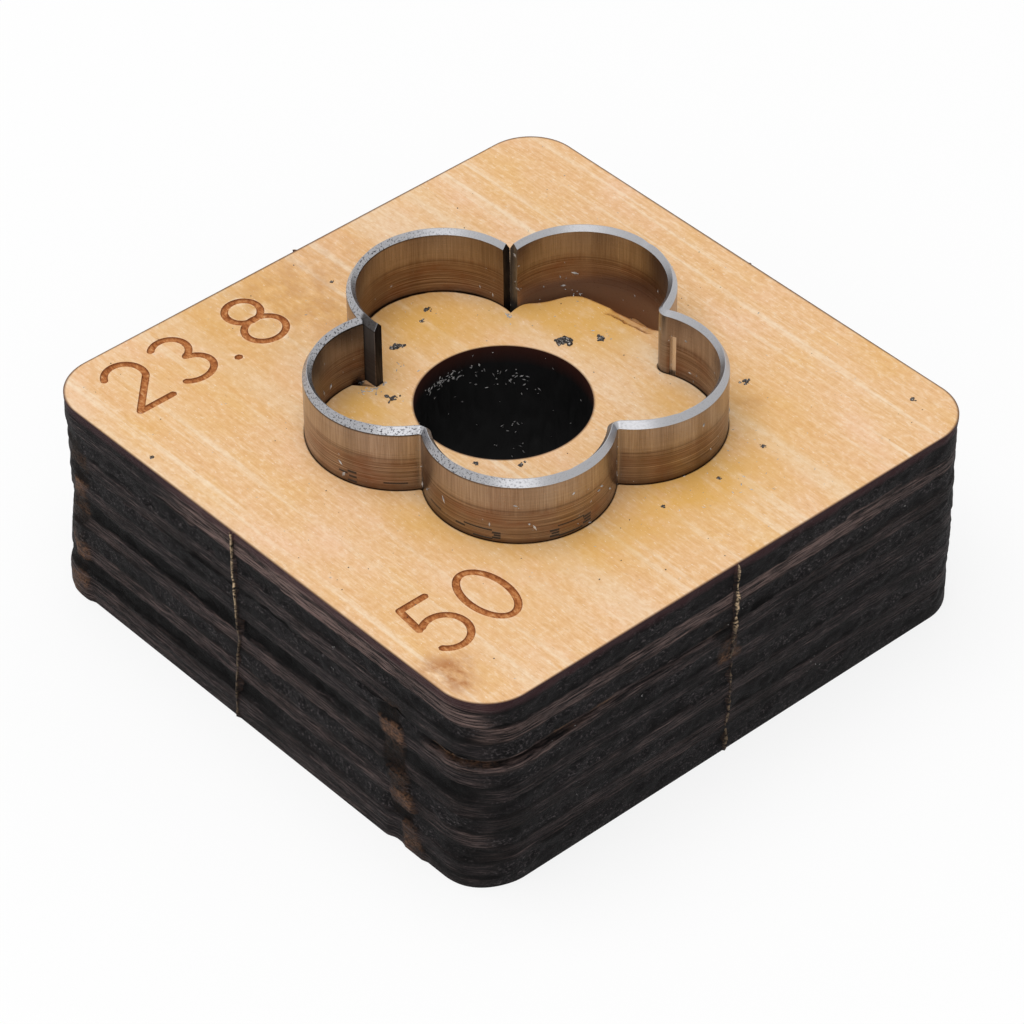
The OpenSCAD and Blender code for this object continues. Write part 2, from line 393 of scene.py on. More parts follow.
def makeRuleSteel():
    material, place, noise = newMaterial("carbon_steel_rule_shaved", {
        "scratch": ((0.08, 4, 1), 3, 0.6),
        "roll": ((12, 0.11, 1), 4, 0.65),
        "cloud": ((3.2, 1.3, 1), 3, 0.6),
        "shine": ((2.2, 60, 1), 2, 0.5),
        "fringe": ((0.35, 60, 1), 3, 0.6),
        "grit": ((0.17, 0.14, 1), 4, 0.7),
    }, "run")
    height = addNode(material, "SeparateXYZ", {"Vector": place})["Y"]
    zone, grimeAndShade = readField(material, "zone"), readField(material, "grimeAndShade")
    chipReflection = readField(material, "chipReflection")["X"]
    rolledRamp = [(0.32, "#54473F"), (0.46, "#85756B"), (0.56, "#94847A"), (0.68, "#B4A79D")]
    shavedRamp = [(0.3, "#938982"), (0.5, "#A69C95"), (0.7, "#B8AFA9")]
    color = addNode(material, "ValToRGB", {"Fac": noise["roll"]}, rolledRamp)[0]
    shaved = addNode(material, "ValToRGB", {"Fac": noise["scratch"]}, shavedRamp)[0]

    # Heights over the ragged foot of the shaved band and over the foot of the bevel, which is lower outside
    bandFoot = edgeTop - rule["bandDrop"]
    bevelFoot = {3: edgeTop - rule["innerBevelH"], 4: edgeTop - rule["bevelH"]}
    starts = [
        {"Value": noise["fringe"], 1: 0.25, 2: 0.75, 3: bandFoot - 0.3, 4: bandFoot + 0.3},
        {"Value": zone["Z"], **bevelFoot},
    ]
    over = []
    for start in starts:
        foot = addNode(material, "MapRange", start)[0]
        over.append(addNode(material, "Math", {0: height, 1: foot}, operation="SUBTRACT")[0])

    # Source of each mask, the values where it is off and fully on, and its strength
    spans = {
        "band": (over[0], -0.4, 0.5, 0.85),
        "bevel": (over[1], -0.01, 0.01, 1.0),
        "under": (over[1], -0.2, -0.02, grimeAndShade["Z"]),
        "lineLow": (height, bandFoot - 0.13, bandFoot - 0.06, 0.35),
        "lineHigh": (height, bandFoot + 0.08, bandFoot - 0.04, 1.0),
        # The next two masks are painted shade where the steel meets the board: a thin dark line at the crease
        # and a haze above it
        "foot": (height, boardTop + 0.12, boardTop + 0.03, grimeAndShade["Y"]),
        "footShade": (height, boardTop + 0.6, boardTop, grimeAndShade["Y"]),
        "oxide": (noise["cloud"], 0.45, 0.75, 0.5),
        "dull": (noise["shine"], 0.5, 0.32, 0.3),
        # The next mask is a painted highlight on the stretched, shiny bends
        "bend": (zone["X"], 0.0, 1.0, 0.55),
        # The next mask is painted shade that darkens the inner walls
        "inside": (zone["Z"], 1.0, 0.0, 0.25),
        "dirty": (noise["grit"], 0.53, 0.6, grimeAndShade["Z"]),
    }
    mask = {}
    for key, (source, off, full, strength) in spans.items():
        limits = {"Value": source, 1: off, 2: full, 3: 0.0, 4: strength}
        mask[key] = addNode(material, "MapRange", limits)[0]
    for key, first, second in (("line", "lineLow", "lineHigh"), ("speck", "bevel", "dirty")):
        mask[key] = addNode(material, "Math", {0: mask[first], 1: mask[second]}, operation="MULTIPLY")[0]
    layers = [
        (mask["oxide"], "#794627"), (mask["band"], shaved), (mask["line"], "#33251D"),
        (mask["dull"], "#55463C"), (mask["inside"], "#5E3A22"), (mask["bend"], "#98928E"),
        (mask["footShade"], "#4A3527"), (mask["foot"], "#1B130F"), (mask["under"], "#2E2622"),
        (mask["bevel"], "#A9A9AC"), (mask["speck"], "#3A383C"), (zone["Y"], "#D8D0CA"),
        # Darkening of the run-on end, then a painted brown reflection over the chip, where the wall turns
        # less metallic
        (grimeAndShade["X"], "#2B2522"), (chipReflection, "#8E6A50"),
    ]
    for share, above in layers:
        color = addNode(material, "Mix", {0: share, 6: color, 7: above}, data_type="RGBA")[2]

    relief = {0: mask["band"], 2: noise["roll"], 3: noise["scratch"]}
    relief = addNode(material, "Mix", relief, data_type="FLOAT")[0]
    bump = addNode(material, "Bump", {"Height": relief, "Strength": 0.25, "Distance": 0.01 * mm})[0]
    ground = addNode(material, "MapRange", {"Value": noise["grit"], 1: 0.3, 2: 0.7, 3: 0.25, 4: 0.4})[0]
    metal = addNode(material, "MapRange", {"Value": grimeAndShade["X"], 3: 1.0, 4: 0.1})[0]
    metal = addNode(material, "MapRange", {"Value": chipReflection, 3: metal, 4: 0.2})[0]
    dulled = addNode(material, "MapRange", {"Value": grimeAndShade["X"], 3: ground, 4: 0.85})[0]
    settings = {"Base Color": color, "Metallic": metal, "Roughness": dulled, "Normal": bump}
    return finishMaterial(material, settings)


def makeToned(name, pattern, ramp, settings, relief=None, rise=None):
    # One noise colours the surface through a ramp and may roughen it; rise is a colour near the board's top,
    # by the drops where it starts and is full, its strength and its tone
    material, place, noise = newMaterial(name, {"tone": pattern})
    color = addNode(material, "ValToRGB", {"Fac": noise["tone"]}, ramp)[0]
    if rise:
        start, full, strength, above = rise
        height = addNode(material, "SeparateXYZ", {"Vector": place})["Z"]
        span = (height, (boardTop - start) * mm, (boardTop - full) * mm, strength, above)
        color = paintLayers(material, color, [span])
    settings = {"Base Color": color, **settings}
    if relief:
        strength, depth = relief
        bump = {"Height": noise["tone"], "Strength": strength, "Distance": depth * mm}
        settings["Normal"] = addNode(material, "Bump", bump)[0]
    return finishMaterial(material, settings)


birch = makeBirch()
charEdge = makeChar()
ruleSteel = makeRuleSteel()

# Bore of the ejection hole, burnt black by the laser, with a red-brown scorch just under the rim
boreRamp = [(0.35, "#030303"), (0.65, "#0B0A0B")]
boreFinish = {"Roughness": 0.65, "Specular IOR Level": 0.2}
boreScorch = (1.7, 0.0, 0.95, "#3E1B12")
boreGrain = ((0.7, 0.7, 1.6), 4, 0.6)
boreChar = makeToned("plywood_bore_laser_burnt", boreGrain, boreRamp, boreFinish, (0.4, 0.08), boreScorch)

# Laser-engraved birch: scorched brown groove, darkest on its shoulders and paler along its floor
grooveRamp = [(0.32, "#7E431C"), (0.5, "#AC6A38"), (0.64, "#C68A55"), (0.76, "#E0B88E")]
grooveFinish = {"Roughness": 0.75, "Specular IOR Level": 0.2}
shoulder = (0.16, 0.05, 0.85, "#733E1C")
scorched = ((0.25, 0.5, 0.3), 4, 0.65)
engraved = makeToned("birch_laser_engraved", scorched, grooveRamp, grooveFinish, (0.5, 0.06), shoulder)

# Sheared end of the rule: plain grey steel with short drag lines, or the same painted dark as shade,
# which both ends of the short rule take
sheared = {"Metallic": 1.0, "Roughness": 0.45}
dragLines = ((0.06, 0.06, 1.2), 3, 0.6)
cutRamp = [(0.3, "#6A6663"), (0.7, "#9A9693")]
shadedRamp = [(0.3, "#1A1718"), (0.7, "#454041")]
ruleCut = makeToned("carbon_steel_rule_sheared", dragLines, cutRamp, sheared, (0.4, 0.02))
ruleCutShaded = makeToned("carbon_steel_rule_sheared_shaded", dragLines, shadedRamp, sheared, (0.4, 0.02))

# Marking ink stamped on the strip before it was bent: thin brown-black dashes, patchy where they wore off
inkRamp = [(0.45, "#120D0B"), (0.65, "#2A1F1A"), (0.78, "#5A463A")]
markingInk = makeToned("marking_ink_stamped", ((0.12, 0.12, 0.1), 3, 0.6), inkRamp, {"Roughness": 0.5})

# Paper and wood dust: soft white flakes
dustRamp = [(0.35, "#7E7C7C"), (0.65, "#CBC9C7")]
dustWhite = makeToned("paper_dust_loose", ((0.4, 0.4, 0.4), 2, 0.5), dustRamp, {"Roughness": 0.8})

# Soot and steel crumbs pressed into the wood: dark grey grit, whose lightest ramp tone is a painted glint
gritRamp = [(0.4, "#0E0B0A"), (0.52, "#2C2623"), (0.6, "#6F6862"), (0.68, "#D8D4CE")]
gritDark = makeToned("soot_grit_pressed", ((0.12, 0.12, 0.12), 3, 0.6), gritRamp, {"Roughness": 0.55})
print("materials made")


# Flower path: petals are circle arcs, and a bend is an arc tangent to two of them that turns the other way

flower = {
    "centre": np.array([0.15, -0.5]),
    "petals": 5,
    "turn": -4.0,
    "petalR": 6.8,
    "crestR": 15.85,
    "bendR": 0.2,
    # petals that end in a bend; the other two end in open joints, and petal 0 runs on past its joint
    "bent": [1, 2, 3],
    "ruleT": 0.71,
    "jointGap": 0.004,
    "jointLap": 1.8,
    "step": 0.12,
    "fewest": 12,
    # nearest that the next petal's wood comes to the run-on end, as an angle
    "tailClear": 0.002,
    # radius that turns an angle about the flower's middle into a length, and how near is on an arc
    "meanR": 12,
    "near": 0.01,
    "slotGap": 0.035,
    "bridgeW": 4.0,
    "bridgeDrop": 1.5,
    "bridged": [0, 2, 3],
}
flowerMid = flower["centre"]
petalR = flower["petalR"]
halfStep = math.pi / flower["petals"]
halfRule = flower["ruleT"] / 2
halfSlot = halfRule + flower["slotGap"]
petalReach = flower["crestR"] - petalR
halfSpacing = petalReach * math.sin(halfStep)
bendMidR = flower["bendR"] + halfRule
bendHalf = math.asin(halfSpacing / (petalR + bendMidR))
bendReach = petalReach * math.cos(halfStep) + (petalR + bendMidR) * math.cos(bendHalf)
bendTurn = halfStep + bendHalf
jointTurn = halfStep + math.asin(halfSpacing / (petalR + halfRule))
jointTurn -= flower["jointGap"] / 2 / petalR
lapTurn = jointTurn + flower["jointLap"] / petalR


def petalAxis(k):
    # Direction of a petal: that of the first one, and k fifths of a turn
    return math.radians(90 + flower["turn"]) + 2 * halfStep * k


def fromCentre(reach, angle):
    # Point at a reach and an angle from the flower's middle
    return flowerMid + reach * unitRay(angle)


def petalTurn(points, k):
    # Angle of each point about a petal's own middle, from the petal's axis, and its distance from that middle
    local = points - fromCentre(petalReach, petalAxis(k))
    return wrapAngle(rayAngle(local) - petalAxis(k)), np.linalg.norm(local, axis=-1)


def onPetal(points, k):
    # The same angle, and whether the point lies on the petal's arc
    turn, reach = petalTurn(points, k)
    return turn, np.abs(reach - petalR) < flower["near"]


def arcRun(centre, radius, start, stop, extra=()):
    # Points of a circle arc and their unit rays from its centre
    count = max(int(abs(stop - start) * radius / flower["step"]), flower["fewest"]) + 1
    angle = np.linspace(start, stop, count)
    added = [a for a in extra if min(start, stop) < a < max(start, stop)]
    if added:
        angle = np.unique(np.concatenate([angle, added]))
    ray = unitRay(angle)
    return centre + radius * ray, ray


def bendRun(k, radius):
    # The bend after a petal, at a radius about the bend's own middle
    inward = petalAxis(k) + halfStep + math.pi
    middle = fromCentre(bendReach, petalAxis(k) + halfStep)
    return arcRun(middle, radius, inward + bendHalf, inward - bendHalf)


def flowerPath(first, last, startTurn, endTurn, closed=False, stops=None):
    # Petals first to last with their bends: points, normals away from the inside, and run length
    points, normals = [], []
    for k in range(first, last + 1):
        axis = petalAxis(k)
        low = axis - (startTurn if k == first else bendTurn)
        high = axis + (endTurn if k == last else bendTurn)
        extra = [axis + turn for turn in (stops or {}).get(k, [])]
        arcs = [(*arcRun(fromCentre(petalReach, axis), petalR, low, high, extra), 1)]
        if k < last or closed:
            arcs.append((*bendRun(k, bendMidR), -1))
        for arc, ray, outward in arcs:
            points.append(arc[:-1])
            normals.append(ray[:-1] * outward)
    if not closed:
        points.append(arc[-1:])
        normals.append(ray[-1:] * outward)
    points, normals = np.concatenate(points), np.concatenate(normals)
    return points, normals, runLength(points)


# The slot's edges as functions of the angle about the flower's middle, which sees every point of them
loopPoints, loopNormals, _ = flowerPath(0, flower["petals"] - 1, bendTurn, bendTurn, closed=True)


def edgeAt(edge, angle):
    # Radius of a closed line of points at each angle about the flower's middle
    away = edge - flowerMid
    edgeAngle = rayAngle(away)
    order = np.argsort(edgeAngle)
    return np.interp(angle, edgeAngle[order], np.linalg.norm(away, axis=1)[order], period=2 * math.pi)


def slotEdge(side, angle):
    # side is the signed distance from the rule's middle line
    return edgeAt(loopPoints + side * loopNormals, angle)


def innerSlotEdge(angle):
    # The slot's inner edge: round each bend, to where the slots cross at a joint, and round the run-on tail
    inner = petalR - halfSlot
    crossTurn = halfStep + math.asin(halfSpacing / inner)
    tailEnd = lapTurn + flower["slotGap"] / petalR
    pieces = []
    for k in range(flower["petals"]):
        axis = petalAxis(k)
        middle = fromCentre(petalReach, axis)
        low = bendTurn if k - 1 in flower["bent"] else crossTurn
        high = bendTurn if k in flower["bent"] else crossTurn if k else tailEnd
        arc, _ = arcRun(middle, inner, axis - low, axis + high)
        if k == 0:
            corner = middle + (petalR + halfSlot) * unitRay(axis + tailEnd)
            arc = np.concatenate([arc, corner[None]])
            tailAngle = rayAngle(corner - flowerMid)
        if k == 1:
            arc = arc[wrapAngle(rayAngle(arc - flowerMid) - tailAngle) > flower["tailClear"]]
        pieces.append(arc)
        if k in flower["bent"]:
            pieces.append(bendRun(k, bendMidR + halfSlot)[0])
    return edgeAt(np.concatenate(pieces), angle)


# Board outside the flower: one closed section carried round the board, from the slot across the top,
# down the charred side, back underneath and up the slot's wall

outer = {
    "side": 50.0,
    "cornerR": 4.2,
    "columns": 740,
    # rows: step down the side, distances from an edge of the rows beside it, and counts between them
    "sideStep": 0.2,
    "nearEdge": [0.08, 0.2, 0.4, 0.8],
    "topRows": 16,
    "underRows": 6,
    "wallRows": 5,
    "shade": 42,
    "edgeBurn": 0.04,
    "longBurn": 0.06,
    "endBurn": 0.07,
    "underBurn": 0.15,
    "mostOut": 0.8,
    # noises on the side: blur upright, blur along it and seed
    "noises": {
        "wave": (3, 4, 11), "streak": (0.2, 3, 13), "pit": (0.2, 0.28, 14), "ragged": (0.4, 0.5, 15),
        "clump": (0.45, 0.9, 16),
    },
    # how each veneer varies along the side: blur and seed; and seed of how its edges jut out
    "plyNoise": (6, 12),
    "plySeed": 17,
    "plyShift": 0.5,
    "plyProud": (0.1, 1.7),
    # amplitudes of those noises
    "glueWave": 0.11,
    "endPit": 0.05,
    "endClump": 0.03,
    "longStreak": 0.022,
    "longPit": 0.014,
    # depths and heights over which roughness sets in from the top and from the bottom, and burn from the top
    "settle": (0.5, 1.2),
    "burnIn": 2.6,
    # sideways share of the normal at which a veneer turns from long grain to end grain
    "endTurn": (0.45, 0.95),
    # share of the end-grain burn and of brown for each veneer, from the bottom one up
    "plyBurn": [0.4, 2.2, 0.9, 0.5, 1.0, 2.6, 0.5, 0.6, 0.6, 1.1, 0.4],
    "plyBrown": [0.2, 0.1, 0.3, 0.12, 0.34, 0.1, 0.12, 0.4, 0.2, 0.8, 1.4],
    # burn depths at which a veneer starts to look hollow, painted black as shade, and fully does
    "hollow": (0.09, 0.16),
    # lean of the sides that face -X and -Y, steps in the first by from, to and amount, share of the normal
    # where a side leans, and heights where it starts and is full
    "lean": (0.15, -0.15),
    "leanSteps": [(-15.4, -14.2, 0.3), (20.0, 20.8, 0.18)],
    "leanFacing": (0.3, 0.9),
    "leanHeights": (8.5, 0.6),
    # raw strips where the cut stopped: face normal, place along it at the top and bottom, width, proudness,
    # and depths from and to
    "strips": [
        ((-1, 0), 21.3, 21.3, 2.0, 0.12, 3.0, 18.5), ((-1, 0), -13.9, -17.2, 2.2, 0.3, 5.0, 18.5),
        ((0, -1), -0.9, -0.9, 1.6, 0.08, 5.2, 9.2),
    ],
    "stripSoft": 0.35,
    # open split round one corner: depth below the top, height, burn, far end in x and y, and x where it
    # starts to open wide and fully does
    "split": (5.83, 0.6, 0.5, -0.9, -18.8, -12, -20),
    # heights of extra rows at the split's upper lip
    "splitRows": [0.14, 0.06, -0.04, -0.1],
    # x, y, radius and strength of yellow press stains, and of scorches; one broad spot in each list is
    # painted shade
    "ochreSpots": [
        (2.5, -15.2, 2.6, 1.0), (4.5, -16.6, 3.4, 0.7), (-2.0, -17.2, 3.2, 0.7), (-6.5, -17.0, 3.2, 0.6),
        (-12.0, -9.0, 2.8, 0.75), (-14.0, -5.5, 2.4, 0.6), (12.5, -12.0, 3.2, 0.55), (8.0, -17.0, 5.0, 0.5),
        # the broad spot at (-15, 17) is painted shade, darker towards the far left of the top
        (-10.5, -13.5, 3.2, 0.5), (-7.0, 21.0, 6.0, 0.7), (-15.0, 17.0, 6.0, 0.3), (-16.0, -16.0, 4.0, 0.3),
    ],
    "scorchAndShade": [
        (-23.6, -20.2, 1.3, 1.0), (-22.4, -19.3, 1.2, 0.8), (-24.0, -18.4, 1.0, 0.8),
        # the broad spot at (-3, 20.5) is painted shade, darker towards the far edge of the top
        (-23.2, -21.6, 0.9, 0.7), (13.0, -12.5, 0.9, 0.5), (-3.0, 20.5, 7.5, 0.45),
    ],
    "ochreMost": 0.85,
    # x, width and soft edge of the pale streaks, and how strong they are off that band and more on it
    "paleBand": (15.5, 7.0, 4.0),
    "pale": (0.35, 0.6),
    # distance that stands for far from any cut
    "far": 9.0,
}


def boardOutline(count):
    # Round-cornered square by run length: half a side, a quarter circle and half a side, turned four times
    flat = outer["side"] / 2 - outer["cornerR"]
    arc = math.pi / 2 * outer["cornerR"]
    quarter = 2 * flat + arc
    run = np.arange(count) / count * 4 * quarter
    turn = np.floor(run / quarter)
    t = run - turn * quarter
    ray = unitRay(np.clip((t - flat) / outer["cornerR"], 0, math.pi / 2))
    point = flat + outer["cornerR"] * ray
    point[:, 1] -= np.clip(flat - t, 0, None)
    point[:, 0] -= np.clip(t - flat - arc, 0, None)
    c, s = unitRay(turn * math.pi / 2).T
    return [np.stack([c * v[:, 0] - s * v[:, 1], s * v[:, 0] + c * v[:, 1]], 1) for v in (point, ray)]


def spotField(points, spots):
    # Sum of soft round spots
    field = np.zeros(points.shape[:2])
    for x, y, radius, strength in spots:
        field += strength * np.exp(-((points[:, :, 0] - x) ** 2 + (points[:, :, 1] - y) ** 2) / radius ** 2)
    return np.clip(field, 0, 1)


def woodFields(points, rimGap, slotGap, ochreSpots, torn=0):
    # What the veneer reads: distances to cut edges, and ochre spots, which are stain with some painted shade,
    # then torn wood, scorched spots with some painted shade, and pale streaks; gaps and torn wood are those
    # of the first rows, which lie on top
    onTop = len(rimGap)
    near, wearAndShade = np.full(points.shape, outer["far"]), np.zeros(points.shape)
    near[:onTop, :, 0] = rimGap
    near[:onTop, :, 1] = slotGap
    near[:, :, 2] = spotField(points, ochreSpots) * outer["ochreMost"]
    wearAndShade[:onTop, :, 0] = torn
    wearAndShade[:, :, 1] = spotField(points, outer["scorchAndShade"])
    least, more = outer["pale"]
    wearAndShade[:, :, 2] = least + more * smoothBand(*outer["paleBand"], points[:, :, 0])
    return near, wearAndShade


def underFace(start, stop, span, rows):
    # The underside from one edge to another, with a thin first step that carries the burn of the cut
    step = outer["underBurn"] / span
    share = np.concatenate([step, step + (1 - step) * np.linspace(0, 1, rows)[1:, None]])
    return atHeight(between(start, stop, share), 0)


def sideLean(normal, along, z):
    # How far a side leans out towards the bottom, by the way that it faces and the place along it
    left, front = outer["lean"]
    for start, stop, more in outer["leanSteps"]:
        left = left + more * smoothStep(start, stop, along)
    leftward, frontward = (smoothStep(*outer["leanFacing"], -normal[..., i]) for i in (0, 1))
    return (left * leftward + front * frontward) * smoothStep(*outer["leanHeights"], z)


def sideBurn(outline, outNormal, z, columnStep):
    # Burn depth into the side at each height and place, with the fields that colour it
    rows, columns = len(z), len(outline)
    drop = boardTop - z
    settle = smoothStep(0, outer["settle"][0], drop) * smoothStep(0, outer["settle"][1], z)
    noise = {}
    for key, (upright, along, seed) in outer["noises"].items():
        noise[key] = softNoise((rows, columns), (upright / outer["sideStep"], along / columnStep), seed)

    # Veneers: which one a point lies in, how far it is from its glue lines, and how its grain meets the cut
    count, face = plies["count"], plies["facePly"]
    glue = np.concatenate([[0], np.linspace(face, boardTop - face, count - 1), [boardTop]])
    waved = np.clip(z + outer["glueWave"] * noise["wave"], 0.01, boardTop - 0.01)
    ply = np.clip(np.searchsorted(glue, waved) - 1, 0, count - 1)
    within = (waved - glue[ply]) / (glue[ply + 1] - glue[ply])
    groove = np.clip(3.2 * np.sin(math.pi * within), 0, 1)
    sideways = np.abs(outNormal)
    endGrain = smoothStep(*outer["endTurn"], np.where(ply % 2 == 0, sideways[:, 1], sideways[:, 0]))
    blur, seed = outer["plyNoise"]
    plyWander = np.take_along_axis(softNoise((count, columns), (0.01, blur / columnStep), seed), ply, 0)
    rng = np.random.default_rng(outer["plySeed"])
    plyShift = rng.uniform(-outer["plyShift"], outer["plyShift"], count)[ply]
    plyProud = rng.uniform(*outer["plyProud"], count)[ply]

    lean = sideLean(outNormal, outline[:, 1] + plyShift + 0.1 * noise["ragged"], z)
    burn = outer["edgeBurn"] + outer["longBurn"] * smoothStep(0, outer["burnIn"], drop) - lean
    endShare = np.array(outer["plyBurn"])[ply] * groove * np.clip(1 + 0.35 * plyWander, 0.2, 1.8)
    endBurn = outer["endBurn"] * endShare
    endRough = endBurn + outer["endPit"] * noise["pit"] + outer["endClump"] * noise["clump"]
    longRough = outer["longStreak"] * noise["streak"] + outer["longPit"] * noise["pit"]
    burn = burn + settle * endGrain * endRough + settle * (1 - endGrain) * longRough
    brown = np.array(outer["plyBrown"])[ply] * (1 - endGrain) * np.clip(0.75 + 0.5 * plyWander, 0, 1.3)

    # Raw strips: some veneers in them stand out, and the others are hollow, painted black as shade
    raw, hollow = np.zeros((rows, columns)), np.zeros((rows, columns))
    patchy = np.clip(plyProud, 0, 1) * np.clip(0.7 + 0.4 * noise["clump"], 0, 1)
    for normal, atTop, atBottom, width, proud, start, stop in outer["strips"]:
        facing = outline @ np.array(normal) > outer["side"] / 2 - outer["cornerR"] - 0.5
        along = outline[:, 1] if normal[0] else outline[:, 0]
        along = along + 0.2 * noise["ragged"] + 0.1 * noise["clump"] + plyShift
        centre = atTop + (atBottom - atTop) * drop / boardTop
        strip = facing * smoothBand(centre, width, outer["stripSoft"], along)
        strip = strip * smoothStep(start - 0.5, start + 0.7, drop) * (1 - smoothStep(stop - 0.6, stop, drop))
        raw = np.maximum(raw, strip * (1 - 0.6 * endGrain) * patchy)
        hollow = np.maximum(hollow, strip * smoothStep(0.7, 0.4, plyProud))
        burn = burn - strip * proud * (plyProud - 0.5)

    # Open split between veneers: a painted highlight on the thin lip above, a gap painted black as shade,
    # and a torn brown ledge below it
    depth, height, splitBurn, farX, farY, narrow, wide = outer["split"]
    x, y = outline.T
    run = smoothStep(farX + 0.4, farX - 0.4, x) * smoothStep(farY + 0.8, farY - 0.8, y)
    corner = smoothStep(narrow, wide, x)
    gape = run * (0.3 + 0.7 * corner)
    deepness = drop + 0.05 * noise["streak"]
    slit = gape * smoothBand(depth, height * (0.5 + 0.5 * corner), 0.1, deepness)
    # lip: a painted highlight, a thin tan line along the split's upper edge
    lip = run * smoothBand(depth - height / 2 + 0.1 - 0.15 * corner, 0.12, 0.08, deepness)
    lip = lip * np.clip(0.45 + 0.5 * noise["clump"], 0, 1)
    ledge = gape * smoothBand(depth + 0.7, 0.7, 0.5, deepness)
    burn = burn + splitBurn * slit - 0.08 * ledge * (1 + 0.3 * noise["ragged"])
    brown = np.maximum(brown, 0.7 * ledge)
    raw = np.maximum(raw, 0.8 * slit * smoothStep(-0.2, 0.8, noise["clump"]) * corner)
    # deep: painted shade, black where end grain is burnt hollow, in the split and in hollow veneers
    deep = np.clip(endGrain * smoothStep(*outer["hollow"], endBurn) + slit * 0.8 + hollow, 0, 1)
    burn = np.maximum(burn, -outer["mostOut"])
    return burn, np.stack([endGrain, raw, 0 * raw], 2), np.stack([deep, brown, lip], 2)


def makeOuter():
    # Blocks of rows in turn: top, side, underside and the slot's wall
    columns = outer["columns"]
    outline, outNormal = boardOutline(columns)
    angle = rayAngle(outline - flowerMid)
    slot = flowerMid + unitRay(angle) * slotEdge(halfSlot, angle)[:, None]
    columnStep = 4 * (outer["side"] - 2 * outer["cornerR"] + math.pi / 2 * outer["cornerR"]) / columns

    # Charred side: every point moves in along the outline's normal by a burn depth
    lipDrop = outer["split"][0] - outer["split"][1] / 2
    even = np.linspace(boardTop, 0, int(boardTop / outer["sideStep"]) + 1)
    z = np.unique(np.concatenate([even, boardTop - lipDrop + np.array(outer["splitRows"])]))[::-1, None]
    burn, sideChar, sideSootAndShading = sideBurn(outline, outNormal, z, columnStep)
    sidePlan = outline[None] - outNormal[None] * burn[:, :, None]
    topRim, underRim = sidePlan[0], sidePlan[-1]

    # Top face: steps close together beside the slot and the rim, and even between them
    span = np.linalg.norm(topRim - slot, axis=1)[None, :]
    nearEdge = np.array(outer["nearEdge"])[:, None]
    nearSlot = np.concatenate([[[0]], nearEdge]) / span
    nearRim = 1 - nearEdge[::-1] / span
    share = np.concatenate([nearSlot, np.linspace(nearSlot[-1], nearRim[0], outer["topRows"])[1:-1], nearRim])
    wallZ = np.linspace(0, boardTop, outer["wallRows"])[1:-1, None]
    blocks = [
        atHeight(between(slot, topRim, share), boardTop), atHeight(sidePlan, z),
        underFace(underRim, slot, span, outer["underRows"]),
        atHeight(np.broadcast_to(slot, (len(wallZ), columns, 2)), wallZ),
    ]

    points = np.concatenate(blocks)
    onTop, rows = len(share), len(z)
    char, sootAndShading = np.zeros(points.shape), np.zeros(points.shape)
    char[onTop:onTop + rows], sootAndShading[onTop:onTop + rows] = sideChar, sideSootAndShading
    near, wearAndShade = woodFields(points, (1 - share) * span, share * span, outer["ochreSpots"])
    near[onTop, :, 0] = 0
    fields = {"char": char, "sootAndShading": sootAndShading, "near": near, "wearAndShade": wearAndShade}
    return addRing("board_outer", blocks, [0, 1, 0, 1], [birch, charEdge, engraved], fields)


boardOuter = makeOuter()
print("board outside the flower made")


# Engraved sizes: each stroke is an elliptic section carried along lines and arcs, cut from the board's top

marks = {
    "height": 5.6,
    "width": 3.5,
    "pitch": 4.65,
    "strokeHalf": 0.3,
    "depth": 0.2,
    "step": 0.12,
    "fewest": 6,
    # points in each line or arc before they are stepped evenly, and points round the section
    "samples": 60,
    "around": 14,
    "lines": [("23.8", -21.4, 17.5), ("50", -22.2, -18.1)],
}

# Strokes in a cell one wide and one high: arcs are centre, radii and two angles, and lines are two ends
digitStrokes = {
    "0": [[("arc", 0.5, 0.5, 0.47, 0.5, 90, 450)]],
    "2": [
        [("arc", 0.5, 0.71, 0.45, 0.29, 165, -30), ("line", 0.89, 0.565, -0.02, -0.03)],
        [("line", -0.05, 0.0, 1.0, 0.0)],
    ],
    "3": [[("arc", 0.45, 0.75, 0.42, 0.25, 150, -82)], [("arc", 0.45, 0.26, 0.5, 0.26, 82, -150)]],
    "5": [
        [("line", 0.92, 1.0, 0.075, 1.0)], [("line", 0.17, 1.05, 0.07, 0.5)],
        [("arc", 0.46, 0.31, 0.5, 0.32, 135, -150)],
    ],
    "8": [[("arc", 0.5, 0.755, 0.4, 0.245, 90, 450)], [("arc", 0.5, 0.265, 0.48, 0.265, 90, 450)]],
    ".": [[("line", 0.0, 0.02, 0.2, 0.02)]],
}


def strokePath(segments, corner):
    # Points along a stroke, evenly stepped, and their run length
    t = np.linspace(0, 1, marks["samples"])
    points = []
    for kind, *v in segments:
        if kind == "arc":
            angle = np.radians(v[4] + (v[5] - v[4]) * t)
            points.append(np.stack([v[0] + v[2] * np.cos(angle), v[1] + v[3] * np.sin(angle)], 1))
        else:
            points.append(np.array(v[:2]) + t[:, None] * (np.array(v[2:]) - np.array(v[:2])))
    points = np.concatenate(points) * np.array([marks["width"], marks["height"]]) + np.array(corner)
    run = runLength(points)
    even = np.linspace(0, run[-1], max(int(run[-1] / marks["step"]), marks["fewest"]))
    return np.stack([np.interp(even, run, points[:, i]) for i in (0, 1)], 1), even


